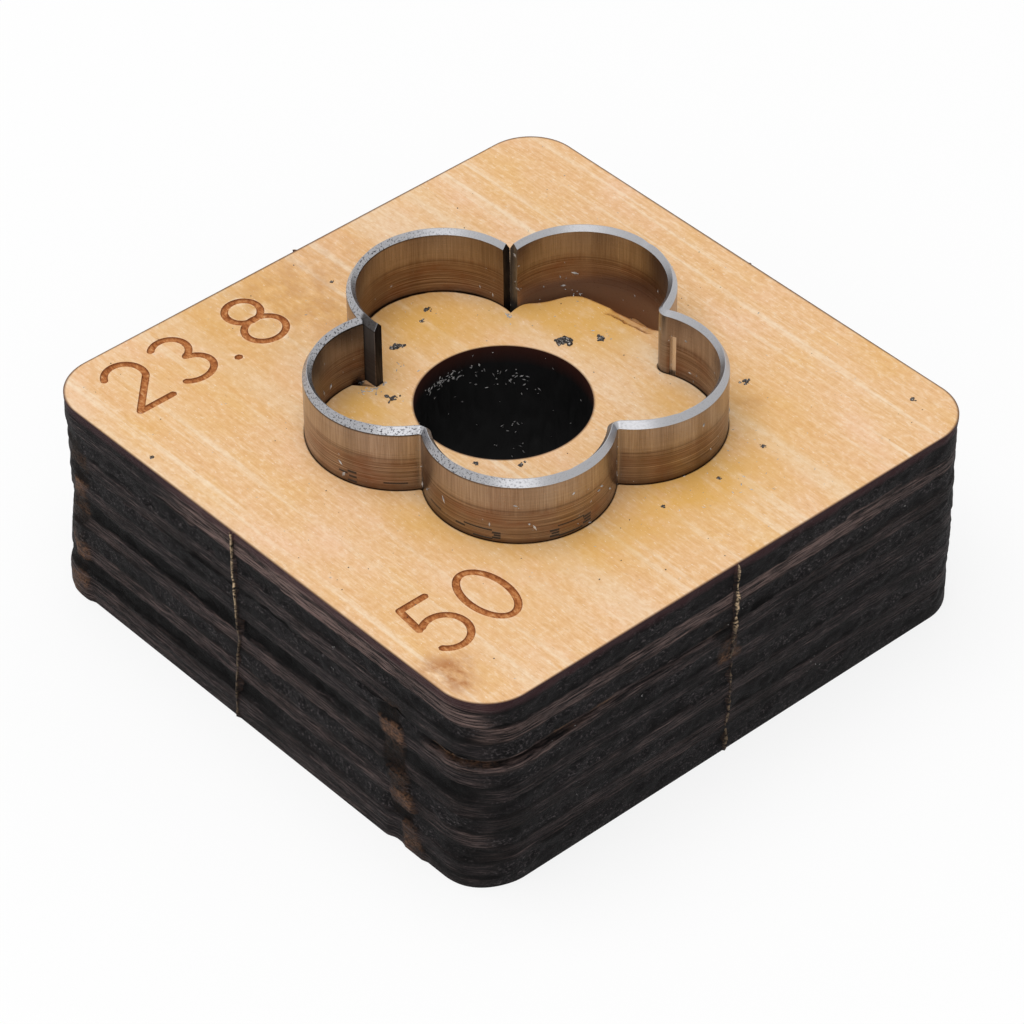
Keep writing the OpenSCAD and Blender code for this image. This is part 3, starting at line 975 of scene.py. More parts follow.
def strokeTool(segments, corner):
    # Elliptic section along the stroke, which shrinks as a half ellipse over the last half width at open ends
    path, run = strokePath(segments, corner)
    closed = np.linalg.norm(path[0] - path[-1]) < 0.01
    if closed:
        path = path[:-1]
        tangent = np.roll(path, -1, 0) - np.roll(path, 1, 0)
        size = np.ones(len(path))
    else:
        tangent = np.gradient(path, axis=0)
        fromEnd = np.minimum(run, run[-1] - run) / marks["strokeHalf"]
        size = np.sqrt(np.clip(1 - (1 - np.clip(fromEnd, 0, 1)) ** 2, 0.02, 1))
    tangent /= np.linalg.norm(tangent, axis=1)[:, None]
    side = np.stack([tangent[:, 1], -tangent[:, 0]], 1)
    angle = np.linspace(0, 2 * math.pi, marks["around"], endpoint=False)[:, None]
    across = (marks["strokeHalf"] * np.cos(angle) * size)[:, :, None] * side[None]
    points = atHeight(path[None] + across, boardTop + marks["depth"] * np.sin(angle) * size)
    rows, columns = points.shape[:2]
    return points, gridFaces(rows, columns, True, True) if closed else sweptFaces(rows, columns)


def cutMarks():
    # Each stroke is cut by a throwaway piece, and the wood that it bares carries the engraved material
    plain = {"near": [outer["far"], outer["far"], 0.0], "wearAndShade": [0.0, 0.0, outer["pale"][0]]}
    for text, left, base in marks["lines"]:
        place = left
        for digit in text:
            for segments in digitStrokes[digit]:
                points, faces = strokeTool(segments, (place, base))
                kinds = np.full(len(faces), 2)
                tool = addPiece("stroke_tool", points, faces, [birch, charEdge, engraved], kinds, plain)
                cut = boardOuter.modifiers.new("cut", "BOOLEAN")
                cut.operation = "DIFFERENCE"
                cut.solver = "MANIFOLD"
                cut.object = tool
                with bpy.context.temp_override(object=boardOuter, active_object=boardOuter):
                    bpy.ops.object.modifier_apply(modifier="cut")
                bpy.data.meshes.remove(tool.data)
            place += marks["pitch"] * (0.5 if digit == "." else 1)


cutMarks()
smoothShade(boardOuter, outer["shade"])
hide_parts("die_board")
print("engraved numbers cut")


# Board inside the flower: one closed section carried round the hole, from the rim across the top to the lip,
# down into the chip, down the slot's wall, underneath and up the bore

island = {
    "columns": 720,
    # rows: distances from the rim and from the lip of those beside them, and counts of the others
    "rimSteps": [0, 0.1, 0.25, 0.5, 1.0],
    "lipSteps": [1.1, 0.9, 0.78, 0.68, 0.6, 0.52, 0.42, 0.3, 0.16, 0.06, 0.0],
    "topRows": 11,
    "wallRows": 4,
    "underRows": 5,
    "boreRows": 44,
    "shade": 42,
    # depth, blur in rows and columns, and drop below the rim over which the bore's burn sets in
    "boreBurn": (0.05, (2.5, 6), 1.5),
    "seed": 31,
    # blur in columns of the fine and of the coarse noise along the lip
    "fineBlur": 1.3,
    "coarseBlur": 7,
    # how far a sound lip stands back from the slot, and how deep its arris is
    "soundGap": 0.015,
    "soundDepth": 0.05,
    # petal, start and end angle about its axis, and how far the wood's edge is worn back from the slot
    "worn": [(0, -72, 72, 0.06), (1, -60, 70, 0.03), (3, -60, 60, 0.02)],
    "wornSoft": 8,
    "wornDepth": 1.6,
    # chip in the top veneer: its petal, depth, place and lean of the split, and half the angle that it spans
    "chipped": 4,
    "chipDepth": 1.9,
    "splitReach": 4.3,
    "splitLean": 0.06,
    "splitHalf": 0.6,
    # strip torn off beside the split: width, and angles where it starts and ends
    "stripWidth": 1.05,
    "stripFrom": (14, 34),
    "stripTo": (60, 84),
    # how many columns the lip is smoothed over
    "lipBlur": 4,
    # rows of the broken face: share of the way from the lip to the slot, and share of the depth
    "breakShare": [0.02, 0.05, 0.12, 0.4, 1.0],
    "breakDrop": [0.3, 0.75, 0.96, 1.0, 1.03],
    "breakRough": 0.06,
    # crack behind the lip: places across the petal where it starts and ends, distance from the lip, width,
    # depth, and how far the splinter before it sinks
    "crackFrom": (-4.6, -3.9),
    "crackTo": (-0.2, 0.5),
    "crackGap": 0.6,
    "crackWidth": 0.09,
    "crackDepth": 0.4,
    "splinterDrop": 0.13,
    "ochreSpots": [
        (11.0, 4.6, 3.6, 1.0), (8.0, 8.0, 3.0, 0.8), (1.0, 12.4, 3.2, 0.9), (-9.0, 7.0, 2.6, 0.8),
        (9.0, -8.5, 2.2, 0.7), (-8.0, 4.0, 4.5, 0.45), (11.5, 1.0, 3.6, 0.7), (3.0, 9.0, 3.6, 0.5),
        (-4.0, 9.0, 3.0, 0.35),
    ],
}


def islandLip(angle, slot, slotR):
    # How far the veneer's edge stands back from the slot at each angle, how deep it is broken, and its crack
    columns = len(angle)
    fine = lineNoise(columns, island["fineBlur"], island["seed"])
    coarse = lineNoise(columns, island["coarseBlur"], island["seed"] + 1)
    gap, depth = np.full(columns, island["soundGap"]), np.full(columns, island["soundDepth"])
    soft = island["wornSoft"]
    for petal, low, high, width in island["worn"]:
        turn, reach = petalTurn(slot, petal)
        turn = np.degrees(turn)
        mask = (reach < petalR) * smoothStep(low - soft, low + soft, turn)
        mask = mask * (1 - smoothStep(high - soft, high + soft, turn))
        gap += mask * width * np.clip(1 + 0.2 * fine + 0.35 * coarse, 0.3, 2)
        depth += mask * width * island["wornDepth"]

    # Straight split along the grain, as the radius at which a line across the petal's axis is met
    turn, reach = petalTurn(slot, island["chipped"])
    turn = np.degrees(turn)
    inPetal = reach < petalR
    off = wrapAngle(angle - petalAxis(island["chipped"]))
    across = slotR * np.sin(off)
    half = island["splitHalf"]
    lineReach = petalReach + island["splitReach"] + island["splitLean"] * across + 0.02 * fine + 0.05 * coarse
    splitGap = np.where(np.abs(off) < half, slotR - lineReach / np.cos(np.clip(off, -half, half)), 0)
    strip = inPetal * smoothStep(*island["stripFrom"], turn) * (1 - smoothStep(*island["stripTo"], turn))
    stripGap = strip * island["stripWidth"] * np.clip(1 + 0.1 * fine + 0.08 * coarse, 0.4, 1.5)
    onSplit = inPetal * smoothStep(0, 0.3, splitGap - stripGap)

    # The wider of the two, with the split rounded off where it starts, and blurred along the lip
    broken = np.maximum((np.sqrt(splitGap ** 2 + 0.02) + splitGap) / 2 * inPetal, stripGap)
    wave = np.fft.rfftfreq(columns) * island["lipBlur"]
    broken = np.fft.irfft(np.fft.rfft(broken) * np.exp(-2 * np.pi ** 2 * wave ** 2), columns) * inPetal
    chipped = smoothStep(0.02, 0.4, broken) * np.clip(1 + 0.06 * coarse, 0.8, 1.2)
    depth = depth + (island["chipDepth"] - 0.1) * chipped
    crack = onSplit * smoothStep(*island["crackFrom"], across) * (1 - smoothStep(*island["crackTo"], across))
    return np.maximum(gap, broken), depth, crack, fine


def makeIsland():
    # Blocks of rows in turn: top, chip, the slot's wall, underside and bore
    columns = island["columns"]
    angle = np.linspace(-math.pi, math.pi, columns, endpoint=False)
    ray = unitRay(angle)
    slotR = innerSlotEdge(angle)
    slot = flowerMid + ray * slotR[:, None]
    gap, depth, crack, fine = islandLip(angle, slot, slotR)
    rim = holeCentre + holeR * ray
    lip = slot - ray * gap[:, None]

    # Top face, with rows close together beside the rim and the lip; the crack sinks some of the last rows
    span = np.linalg.norm(lip - rim, axis=1)[None, :]
    nearRim = np.array(island["rimSteps"])[:, None] / span
    nearLip = 1 - np.array(island["lipSteps"])[:, None] / span
    share = np.concatenate([nearRim, np.linspace(nearRim[-1], nearLip[0], island["topRows"])[1:-1], nearLip])
    fromLip = (1 - share) * span
    fromCrack = fromLip - (island["crackGap"] + 0.05 * fine[None, :])
    crackLine = crack[None, :] * np.exp(-(fromCrack / island["crackWidth"]) ** 2)
    splinter = crack[None, :] * smoothStep(0.05, -0.05, fromCrack)
    topZ = boardTop - island["crackDepth"] * crackLine - island["splinterDrop"] * splinter

    # Broken face of the chip and its floor, with rough steps where it is deep
    breakShare = np.array(island["breakShare"])[:, None] * np.ones((1, columns))
    rough = softNoise(breakShare.shape, (0.6, 2.0), island["seed"] + 3) * smoothStep(0.5, 1.5, depth)
    breakDrop = np.array(island["breakDrop"])[:, None] + island["breakRough"] * rough
    breakZ = np.minimum(boardTop - breakDrop * depth[None, :], topZ[-1][None] - 0.01)
    wallZ = breakZ[-1][None] * (1 - np.linspace(0, 1, island["wallRows"])[1:, None])

    # Bore: the radius wanders a little with the burn, and the rim keeps its size
    boreZ = np.linspace(0, boardTop, island["boreRows"] + 1)[1:-1, None] * np.ones((1, columns))
    burnDepth, blur, burnIn = island["boreBurn"]
    burn = burnDepth * np.abs(softNoise(boreZ.shape, blur, island["seed"] + 2))
    burn = burn * smoothStep(0, burnIn, boardTop - boreZ)
    blocks = [
        atHeight(between(rim, lip, share), topZ), atHeight(between(lip, slot, breakShare), breakZ),
        atHeight(np.broadcast_to(slot, (len(wallZ), columns, 2)), wallZ),
        underFace(slot, rim, span, island["underRows"]),
        atHeight(holeCentre + ray[None] * (holeR + burn)[:, :, None], boreZ),
    ]

    # Torn wood shows along the crack, on the splinter, on the worn lip and in the chip
    wornLip = 0.6 * smoothStep(0.4, 1.0, gap)[None, :] * smoothStep(0.14, 0.02, fromLip)
    torn = np.clip(crackLine * 1.2 + 0.35 * splinter + wornLip, 0, 1)
    slotGap = fromLip + np.clip(gap - 0.1, 0, 0.3)[None, :]
    near, wearAndShade = woodFields(np.concatenate(blocks), share * span + 0.05, slotGap, island["ochreSpots"], torn)
    chipRows = slice(len(share), len(share) + len(breakZ))
    gaping = smoothStep(0.1, 0.5, gap)[None]
    near[chipRows, :, 1] = outer["far"] * gaping
    wearAndShade[chipRows, :, 0] = 0.6 * gaping
    fields = {"char": np.zeros(3), "sootAndShading": np.zeros(3), "near": near, "wearAndShade": wearAndShade}
    piece = addRing("board_island", blocks, [0, 0, 1, 0, 2], [birch, charEdge, boreChar], fields)
    smoothShade(piece, island["shade"])
    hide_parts("die_board")


makeIsland()
print("board inside the flower made")


# Bridges: blocks of wood left across the slot, and the sliver of wood behind the run-on end of the short rule

bridges = {
    # how far a block reaches into the wood on each side, points along it, and height of its foot
    "lap": 0.05,
    "points": 24,
    "foot": 0.01,
    # the sliver: drop below the top, points along the tail and the slot, angle before the joint where it
    # starts, clearance from the slot, and where its far corner lies from the tail's end
    "sliverDrop": 0.015,
    "tailPoints": 40,
    "slotPoints": 14,
    "sliverTurn": 0.1,
    "sliverGap": 0.02,
    "sliverReach": (-0.65, 0.42),
}


def sliverOutline():
    # Between the outer face of the run-on end and the long rule's slot, up to where the two meet
    inside = petalR - halfSlot
    shortMiddle, longMiddle = (fromCentre(petalReach, petalAxis(k)) for k in (0, 1))
    turn = petalAxis(0) + np.linspace(lapTurn, jointTurn - bridges["sliverTurn"], bridges["tailPoints"])
    tail = shortMiddle + (petalR + halfSlot) * unitRay(turn)
    tail = tail[np.linalg.norm(tail - longMiddle, axis=1) < inside - bridges["sliverGap"]]
    ends = [rayAngle(p - longMiddle) for p in (tail[-1], tail[0] + np.array(bridges["sliverReach"]))]
    turn = np.linspace(*ends, bridges["slotPoints"])[1:]
    return np.concatenate([tail, longMiddle + inside * unitRay(turn)])


def makeBridges():
    # Each outline, listed anticlockwise, is carried straight up, with a flat face at each end
    across = halfSlot + bridges["lap"]
    half = flower["bridgeW"] / 2 / petalR
    outlines = []
    for k in flower["bridged"]:
        ray = unitRay(petalAxis(k) + np.linspace(-half, half, bridges["points"]))
        middle = fromCentre(petalReach, petalAxis(k))
        edges = [middle + (petalR + across) * ray, middle + (petalR - across) * ray[::-1]]
        outlines.append((np.concatenate(edges), flower["bridgeDrop"]))
    outlines.append((sliverOutline(), bridges["sliverDrop"]))
    points, faces = [], []
    for outline, drop in outlines:
        faces += shiftFaces(stackedFaces(2, len(outline)), sum(len(p) for p in points))
        points += [atHeight(outline, level) for level in (bridges["foot"], boardTop - drop)]
    fields = {"near": [outer["far"], outer["far"], 0.1], "wearAndShade": [0.25, 0.2, outer["pale"][0]]}
    piece = addPiece("board_bridges", np.concatenate(points), faces, [birch], None, fields)
    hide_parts("die_board")


makeBridges()
print("bridges made")


# Tab stubs: a thin torn ridge down the middle of each side, where the board was snapped out of its sheet

stubs = {
    "rows": 91,
    "endGap": 0.02,
    "seed": 41,
    # across and outwards from the side's plane, anticlockwise seen from above
    "section": [
        (-0.45, -0.4), (-0.28, -0.12), (-0.14, 0.0), (-0.09, 0.11), (0.05, 0.13), (0.1, 0.0), (0.22, -0.14),
        (0.45, -0.4), (0, -0.6),
    ],
    # points of the section below the first depth stay smooth, and those beyond the second are its crest
    "rooted": -0.3,
    "crest": 0.1,
    # roughness across and outwards, wander across, and how far the lower part is broken back
    "rough": (0.035, 0.05),
    "wander": 0.05,
    "brokenBack": 0.08,
    # direction outwards, place along the side at the top and bottom, and depth to which the wood is bright
    "sides": [
        ((-1, 0), 2.25, 2.25, 7.5), ((0, -1), -0.25, -0.9, 5.3), ((1, 0), 0.0, 0.35, 6.0),
        ((0, 1), 0.0, -0.3, 7.0),
    ],
    # how far a stub looks like end grain, and how raw it looks
    "look": (0.3, 0.12),
}


def makeStubs():
    # The section is carried down each side, and noise roughens how far it stands out
    rows, count = stubs["rows"], len(stubs["section"])
    sectionX, sectionOut = np.array(stubs["section"]).T[:, None]
    z = np.linspace(boardTop - stubs["endGap"], stubs["endGap"], rows)[:, None]
    one = [face[::-1] for face in stackedFaces(rows, count)]
    points, faces, chars = [], [], []
    for i, (normal, atTop, atBottom, bright) in enumerate(stubs["sides"]):
        outward = np.array(normal, float)
        along = np.array([-outward[1], outward[0]])
        sign = along[1] if normal[0] else along[0]
        rough = softNoise((rows, count), (1.2, 0.6), stubs["seed"] + i)
        wander = softNoise((rows, 2), (3, 0.01), stubs["seed"] + 10 + i)[:, :1]
        place = (atTop + (atBottom - atTop) * (1 - z / boardTop)) * sign
        across = sectionX + place + stubs["rough"][0] * rough + stubs["wander"] * wander
        lower = smoothStep(bright - 0.5, bright + 1.5, boardTop - z)
        out = sectionOut + stubs["rough"][1] * rough - stubs["brokenBack"] * lower
        out = np.where(sectionOut < stubs["rooted"], sectionOut, out)
        out = outer["side"] / 2 + out + sideLean(outward, place * sign, z)
        points.append(atHeight(along * across[:, :, None] + outward * out[:, :, None], z))
        faces += shiftFaces(one, i * rows * count)
        crest = (sectionOut > stubs["crest"]) * (1 - 0.8 * lower)
        chars.append(np.stack(np.broadcast_arrays(*stubs["look"], crest), 2))
    piece = addPiece("tab_stubs", points, faces, [charEdge], None, {"char": chars, "sootAndShading": np.zeros(3)})
    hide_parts("die_board")


makeStubs()
print("tab stubs made")


# Cutting rule: a closed section carried along the petals and bends, notched over the bridges

innerWallR = petalR - halfRule
grooveTo = bendTurn - rule["grooveSet"] / innerWallR
grooveFrom = grooveTo - rule["grooveW"] / innerWallR
notchTurn = 2 * math.asin((flower["bridgeW"] / 2 + rule["notchGap"]) / 2 / petalR)
sharpStep = rule["sharpStep"] / petalR


def cuttingEdge(first, angle):
    # How far the edge is worn down along the strip: small nicks from noise, and single dents
    blur, least, most, depth, ripple = rule["nicks"]
    nick = lineNoise(len(angle), blur, rule["seed"] + first)
    dent = depth * np.clip(nick - least, 0, most) + ripple * nick
    for degrees, width, depth in rule["dents"]:
        dent += depth * np.exp(-(wrapAngle(angle - math.radians(degrees)) * flower["meanR"] / width) ** 2)
    return dent


def makeRule(name, first, last, startTurn, endTurn, openStart, cutFace):
    # Columns stand close together on both sides of every notch and of the groove
    steps = {k: [-notchTurn, notchTurn] for k in flower["bridged"]}
    steps[rule["grooved"]] = steps.get(rule["grooved"], []) + [grooveFrom, grooveTo]
    stops = {k: [turn + d for turn in turns for d in (-sharpStep, sharpStep)] for k, turns in steps.items()}
    points, normals, run = flowerPath(first, last, startTurn, endTurn, stops=stops)
    columns = len(points)
    angle = rayAngle(points - flowerMid)

    # Notch over each bridge: the strip's back lifts to its roof within half its width of the petal's axis
    back = np.zeros(columns)
    for k in flower["bridged"]:
        turn, onArc = onPetal(points, k)
        inside = (np.abs(turn) < notchTurn) & onArc
        back = np.maximum(back, inside * (boardTop - flower["bridgeDrop"] + rule["notchGap"]))

    # Groove in the inner wall beside the bend after its petal
    turn, onArc = onPetal(points, rule["grooved"])
    inGroove = (turn > grooveFrom) & (turn < grooveTo) & onArc

    # Section from the back up the outer wall, over the edge and down the inner wall
    land, grooveDrop = rule["land"] / 2, rule["grooveDrop"]
    drops = [*rule["rowDrops"], rule["bandDrop"], grooveDrop + rule["grooveRow"], grooveDrop, rule["bevelH"]]
    outerZ = np.concatenate([[0], edgeTop - np.array(drops)])
    innerZ = np.concatenate([[edgeTop - rule["innerBevelH"]], outerZ[-2::-1]])
    heights = np.concatenate([outerZ, [edgeTop, edgeTop], innerZ])
    offsets = np.concatenate([np.full(len(outerZ), halfRule), [land, -land], np.full(len(innerZ), -halfRule)])
    z = np.maximum(heights[:, None], back[None])
    z[np.isclose(heights, edgeTop)] -= cuttingEdge(first, angle)[None]
    sunk = (offsets < -land - 0.01) & (heights <= edgeTop - grooveDrop - rule["grooveRow"] / 2)
    shift = sunk[:, None] * inGroove[None] * rule["grooveD"]
    place = points[None] + (offsets[:, None] + shift)[:, :, None] * normals[None]

    # The joint that is seen from inside stands a little open at its top
    end = 0 if openStart else columns - 1
    tangent = points[1] - points[0] if openStart else points[-2] - points[-1]
    tangent /= np.linalg.norm(tangent)
    opening, reach = rule["jointOpen"]
    place[:, end] += (opening * smoothStep(edgeTop - reach, edgeTop, heights))[:, None] * tangent
    faces = sweptFaces(len(heights), columns)
    kinds = np.zeros(len(faces), int)
    kinds[-2:] = 1

    # What the steel reads: painted highlight at the bends, groove and outer wall; darkening of the run-on
    # end, painted shade at the foot, and grit; painted brown reflection over the chip
    outside = (offsets > 0)[:, None]
    bendAngle = petalAxis(0) + halfStep + 2 * halfStep * np.array(flower["bent"])
    fromBend = np.abs(wrapAngle(angle[:, None] - bendAngle[None])).min(1) * flower["meanR"]
    zone = [smoothStep(*rule["bendSpot"], fromBend)[None], shift > 0, outside]
    start, full, tailDarkening, onEnd = rule["tail"]
    ahead = [lapTurn - length / petalR for length in (start, full)]
    tail = smoothStep(*ahead, petalTurn(points, 0)[0]) * (first == 0)
    tail[-1] *= onEnd
    start, full, lowest = rule["chipReflection"]
    turn, onArc = onPetal(points, island["chipped"])
    overChip = onArc * smoothStep(start, full, np.degrees(turn))
    outerFoot, innerFoot = rule["foot"]
    foot = np.where(outside, outerFoot, innerFoot * (1 - overChip)[None])
    least, most, low, high = rule["grit"]
    dirt = least + (1 - least) * smoothStep(low, high, np.cos(angle - math.radians(most)))
    chipReflection = (offsets < 0)[:, None] * overChip[None] * smoothStep(edgeTop - lowest, boardTop, z)
    fields = {
        "run": [run[None] + rule["runShift"] * first, z, np.sign(offsets)[:, None] * rule["wallShift"]],
        "zone": zone,
        "grimeAndShade": [tailDarkening * tail[None], foot, dirt[None]],
        "chipReflection": [chipReflection, 0, 0],
    }
    fields = {key: np.stack(np.broadcast_arrays(*values), 2) for key, values in fields.items()}
    piece = addPiece(name, atHeight(place, z), faces, [ruleSteel, cutFace], kinds, fields)
    smoothShade(piece, rule["shade"])
    return piece


longRule = makeRule("rule_four_petals", 1, flower["petals"] - 1, jointTurn, jointTurn, False, ruleCut)
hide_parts("long_rule")
shortRule = makeRule("rule_one_petal", 0, 0, jointTurn, lapTurn, True, ruleCutShaded)
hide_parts("short_rule")
print("rules made")


# Ink dashes low on the outside of two petals: each is a thin four-cornered section carried along the wall

dashes = {
    "points": 9,
    "proud": 0.008,
    "sunk": -0.02,
    # petal, start and end angle about its axis, height above the board, and width
    "marks": [
        (2, -35.9, -17.8, 1.06, 0.17), (2, -41.9, -35.1, 0.78, 0.2), (2, -29.7, -17.5, 0.26, 0.17),
        (2, -65.5, -54.3, 0.91, 0.12), (2, 21.2, 38.9, 1.19, 0.14), (2, 21.6, 37.9, 0.26, 0.17),
        (1, 32.2, 38.4, 0.85, 0.17), (1, 61.2, 75.6, 0.7, 0.15),
    ],
    # blocks of short dashes: petal, start and end angle, lowest and highest one; then how many, and width
    "blocks": [
        (2, -17.8, -12.7, 0.4, 0.85), (2, 16.2, 22.0, 0.35, 0.85), (2, 38.3, 44.4, 0.5, 1.05),
        (1, 38.5, 44.6, 0.25, 1.1),
    ],
    "inBlock": 3,
    "blockWidth": 0.21,
}


def makeDashes():
    # Across the grid are the section's corners, and along it the angle about the petal's middle
    strokes = list(dashes["marks"])
    for petal, start, stop, low, high in dashes["blocks"]:
        levels = np.linspace(low, high, dashes["inBlock"])
        width = dashes["blockWidth"]
        strokes += [(petal, start + i % 2, stop, level, width) for i, level in enumerate(levels)]
    petal, start, stop, level, width = np.array(strokes).T[:, :, None]
    axis = petalAxis(petal)
    turn = axis + np.radians(start + (stop - start) * np.linspace(0, 1, dashes["points"])[None])
    sunk, proud = dashes["sunk"], dashes["proud"]
    sections = []
    for out, share in [(sunk, -0.5), (proud, -0.4), (proud, 0.4), (sunk, 0.5)]:
        plan = fromCentre(petalReach, axis) + (petalR + halfRule + out) * unitRay(turn)
        sections.append(atHeight(plan, boardTop + level + share * width))
    points = np.stack(sections, 1)
    count, rows, columns = points.shape[:3]
    one = sweptFaces(rows, columns)
    faces = [face for i in range(count) for face in shiftFaces(one, i * rows * columns)]
    piece = addPiece("ink_dashes", points, faces, [markingInk])


makeDashes()
print("ink dashes made")


# Crumbs on the board: small lumps, each a sphere grid with its radius varied over two angles

crumbs = {
    "seed": 71,
    # rings and points in each ring of a lump, and how flat it lies
    "grid": (6, 7),
    "flat": 0.65,
    "shade": 40,
    "weld": 0.0005,
    # x, y and size of the ones that stand out; lumps in each, and their spread and sizes as shares of it
    "placed": [
        (7.75, 2.46, 1.1), (-2.0, 10.5, 0.65), (2.7, 12.4, 0.5), (1.4, 11.6, 0.3), (10.1, 1.0, 0.55),
        (-6.4, 6.1, 0.65), (-6.8, -3.9, 0.35), (-4.4, -6.2, 0.34), (5.25, -17.1, 0.25), (10.25, -16.7, 0.28),
        (22.3, -20.25, 0.35), (-24.0, 12.75, 0.25), (-0.5, 20.0, 0.2), (14.6, -10.4, 0.45), (-6.9, 9.0, 0.3),
        (0.1, -16.7, 0.25),
    ],
    "lumpsEach": 16,
    "spread": 0.36,
    "lumpShare": (0.12, 0.42),
    # single specks: how many, how far from the middle at most, sizes, and distance from the rule
    "scattered": 110,
    "within": 24,
    "speckSize": (0.03, 0.075),
    "offRule": 0.9,
    # least distance of anything loose from the board's rim and from the hole
    "offRim": 1.3,
    "offHole": 0.4,
}


def lumps(centres, sizes, seed):
    # Sphere grids, squashed upright, with radii varied at random
    rng = np.random.default_rng(seed)
    count, (rings, around) = len(centres), crumbs["grid"]
    lat = np.linspace(-math.pi / 2, math.pi / 2, rings)[None, :, None]
    lon = np.linspace(0, 2 * math.pi, around, endpoint=False)[None, None, :]
    radius = sizes[:, None, None] * rng.uniform(0.6, 1.15, (count, rings, around))
    radius[:, [0, -1], :] = (sizes * 0.8)[:, None, None]
    stretch = rng.uniform(0.6, 1.0, (count, 1, 1))
    spin = rng.uniform(0, 2 * math.pi, (count, 1, 1))
    x = radius * np.cos(lat) * np.cos(lon)
    y = radius * np.cos(lat) * np.sin(lon) * stretch
    z = radius * np.sin(lat) * crumbs["flat"]
    turned = [x * np.cos(spin) - y * np.sin(spin), x * np.sin(spin) + y * np.cos(spin), z]
    points = np.stack(turned, -1) + centres[:, None, None, :]
    return points, repeatFaces(gridFaces(rings, around, False, True), count, rings * around)


def mergeDoubles(piece):
    # Closes poles by merging points that lie together
    with bpy.context.temp_override(object=piece, active_object=piece, selected_editable_objects=[piece]):
        weld = piece.modifiers.new("weld", "WELD")
        weld.merge_threshold = crumbs["weld"] * mm
        bpy.ops.object.modifier_apply(modifier="weld")


def clearOfSteel(plan, margin):
    # The points on the board's top that are off the rule by a margin, and off the hole and the rim
    away = plan - flowerMid
    offRule = np.abs(np.linalg.norm(away, axis=1) - slotEdge(0, rayAngle(away))) > margin
    onBoard = np.abs(plan).max(1) < outer["side"] / 2 - crumbs["offRim"]
    return plan[offRule & onBoard & (np.linalg.norm(plan - holeCentre, axis=1) > holeR + crumbs["offHole"])]


def makeCrumbs():
    # Each placed crumb is a cluster of lumps, and single specks lie scattered between them
    rng = np.random.default_rng(crumbs["seed"])
    placed = np.repeat(np.array(crumbs["placed"]), crumbs["lumpsEach"], 0)
    cluster = placed[:, :2] + rng.normal(0, crumbs["spread"], (len(placed), 2)) * placed[:, 2:]
    clusterSize = placed[:, 2] * rng.uniform(*crumbs["lumpShare"], len(placed))
    loose = rng.uniform(-crumbs["within"], crumbs["within"], (crumbs["scattered"] * 3, 2))
    loose = clearOfSteel(loose, crumbs["offRule"])[:crumbs["scattered"]]
    sizes = np.concatenate([clusterSize, rng.uniform(*crumbs["speckSize"], len(loose))])
    points, faces = lumps(atHeight(np.concatenate([cluster, loose]), boardTop), sizes, crumbs["seed"])
    piece = addPiece("board_crumbs", points, faces, [gritDark])
    mergeDoubles(piece)
    smoothShade(piece, crumbs["shade"])


makeCrumbs()
print("crumbs made")


# Dust: flat white flakes on the bore's wall, the steel and the board

dust = {
    "seed": 91,
    # count, angle about the hole and its spread, drop and its spread, and size; then least and most drop
    "inBore": [
        (56, 1.5, 0.22, 1.9, 0.3, 0.075), (26, 0.8, 0.17, 3.0, 0.6, 0.075), (20, 0.78, 0.12, 8.6, 1.6, 0.065),
        (24, 1.0, 0.8, 3.5, 2.2, 0.045),
    ],
    "boreDrops": (0.6, 15),
    # x, y, spread, count and size of heaps at the joints' feet and in the chip; then distance from the rule
    "heaps": [
        (6.69, 7.65, 0.22, 9, 0.1), (-6.6, 7.7, 0.35, 16, 0.09), (-7.5, 8.0, 0.25, 7, 0.07),
        (-5.6, 7.7, 0.18, 6, 0.08), (12.6, 6.3, 0.5, 8, 0.07), (10.5, 0.9, 0.4, 7, 0.06),
        (-3.4, 8.6, 0.3, 5, 0.06), (0.5, 1.0, 9.0, 26, 0.07), (5.0, -17.0, 3.5, 26, 0.06),
    ],
    "heapsOff": 0.45,
    # flakes on the rule: how many, distance from the board and from the edge, and shares of the usual size
    "onRule": (260, 0.1, 0.7, 0.5, 1.6),
    # flakes gathered at each bend and joint: the same, and their spread along the strip
    "atBends": (14, 0.1, 0.5, 0.8, 2.0, 0.5),
    # groups on the charred sides: how many, flakes in each, spread along the side and upright, and depth
    "onSide": (26, 7, 1.3, 0.6, 0.15),
    # points of the outline that they are picked from, how many make a millimetre, and margins of the groups
    # and of the flakes from the bottom and the top
    "sidePoints": 3000,
    "perMillimetre": 15,
    "groupMargin": 1,
    "sideMargins": (0.3, 0.6),
    # flakes on the top: how many, how far from the middle at most, and distance from the rule
    "onTop": (170, 23.5, 0.5),
    "size": 0.036,
}


def flakes(centres, normals, size, seed):
    # Six-point diamonds: a random flat cross in the surface and a short spike along its normal
    rng = np.random.default_rng(seed)
    count = len(centres)
    lead = np.cross(normals, rng.standard_normal((count, 3)))
    lead /= np.linalg.norm(lead, axis=1)[:, None]
    side = np.cross(normals, lead)
    length = size * rng.uniform(0.6, 2.6, count) ** 1.2
    breadth = size * rng.uniform(0.5, 1.0, count)
    height = size * rng.uniform(0.3, 0.7, count)
    axes = [lead * length[:, None], side * breadth[:, None], normals * height[:, None]]
    points = np.stack([centres + s * a for a in axes for s in (1, -1)], 1)
    one = np.array([[0, 2, 4], [2, 1, 4], [1, 3, 4], [3, 0, 4], [2, 0, 5], [1, 2, 5], [3, 1, 5], [0, 3, 5]])
    return points, repeatFaces(one, count, len(axes) * 2)


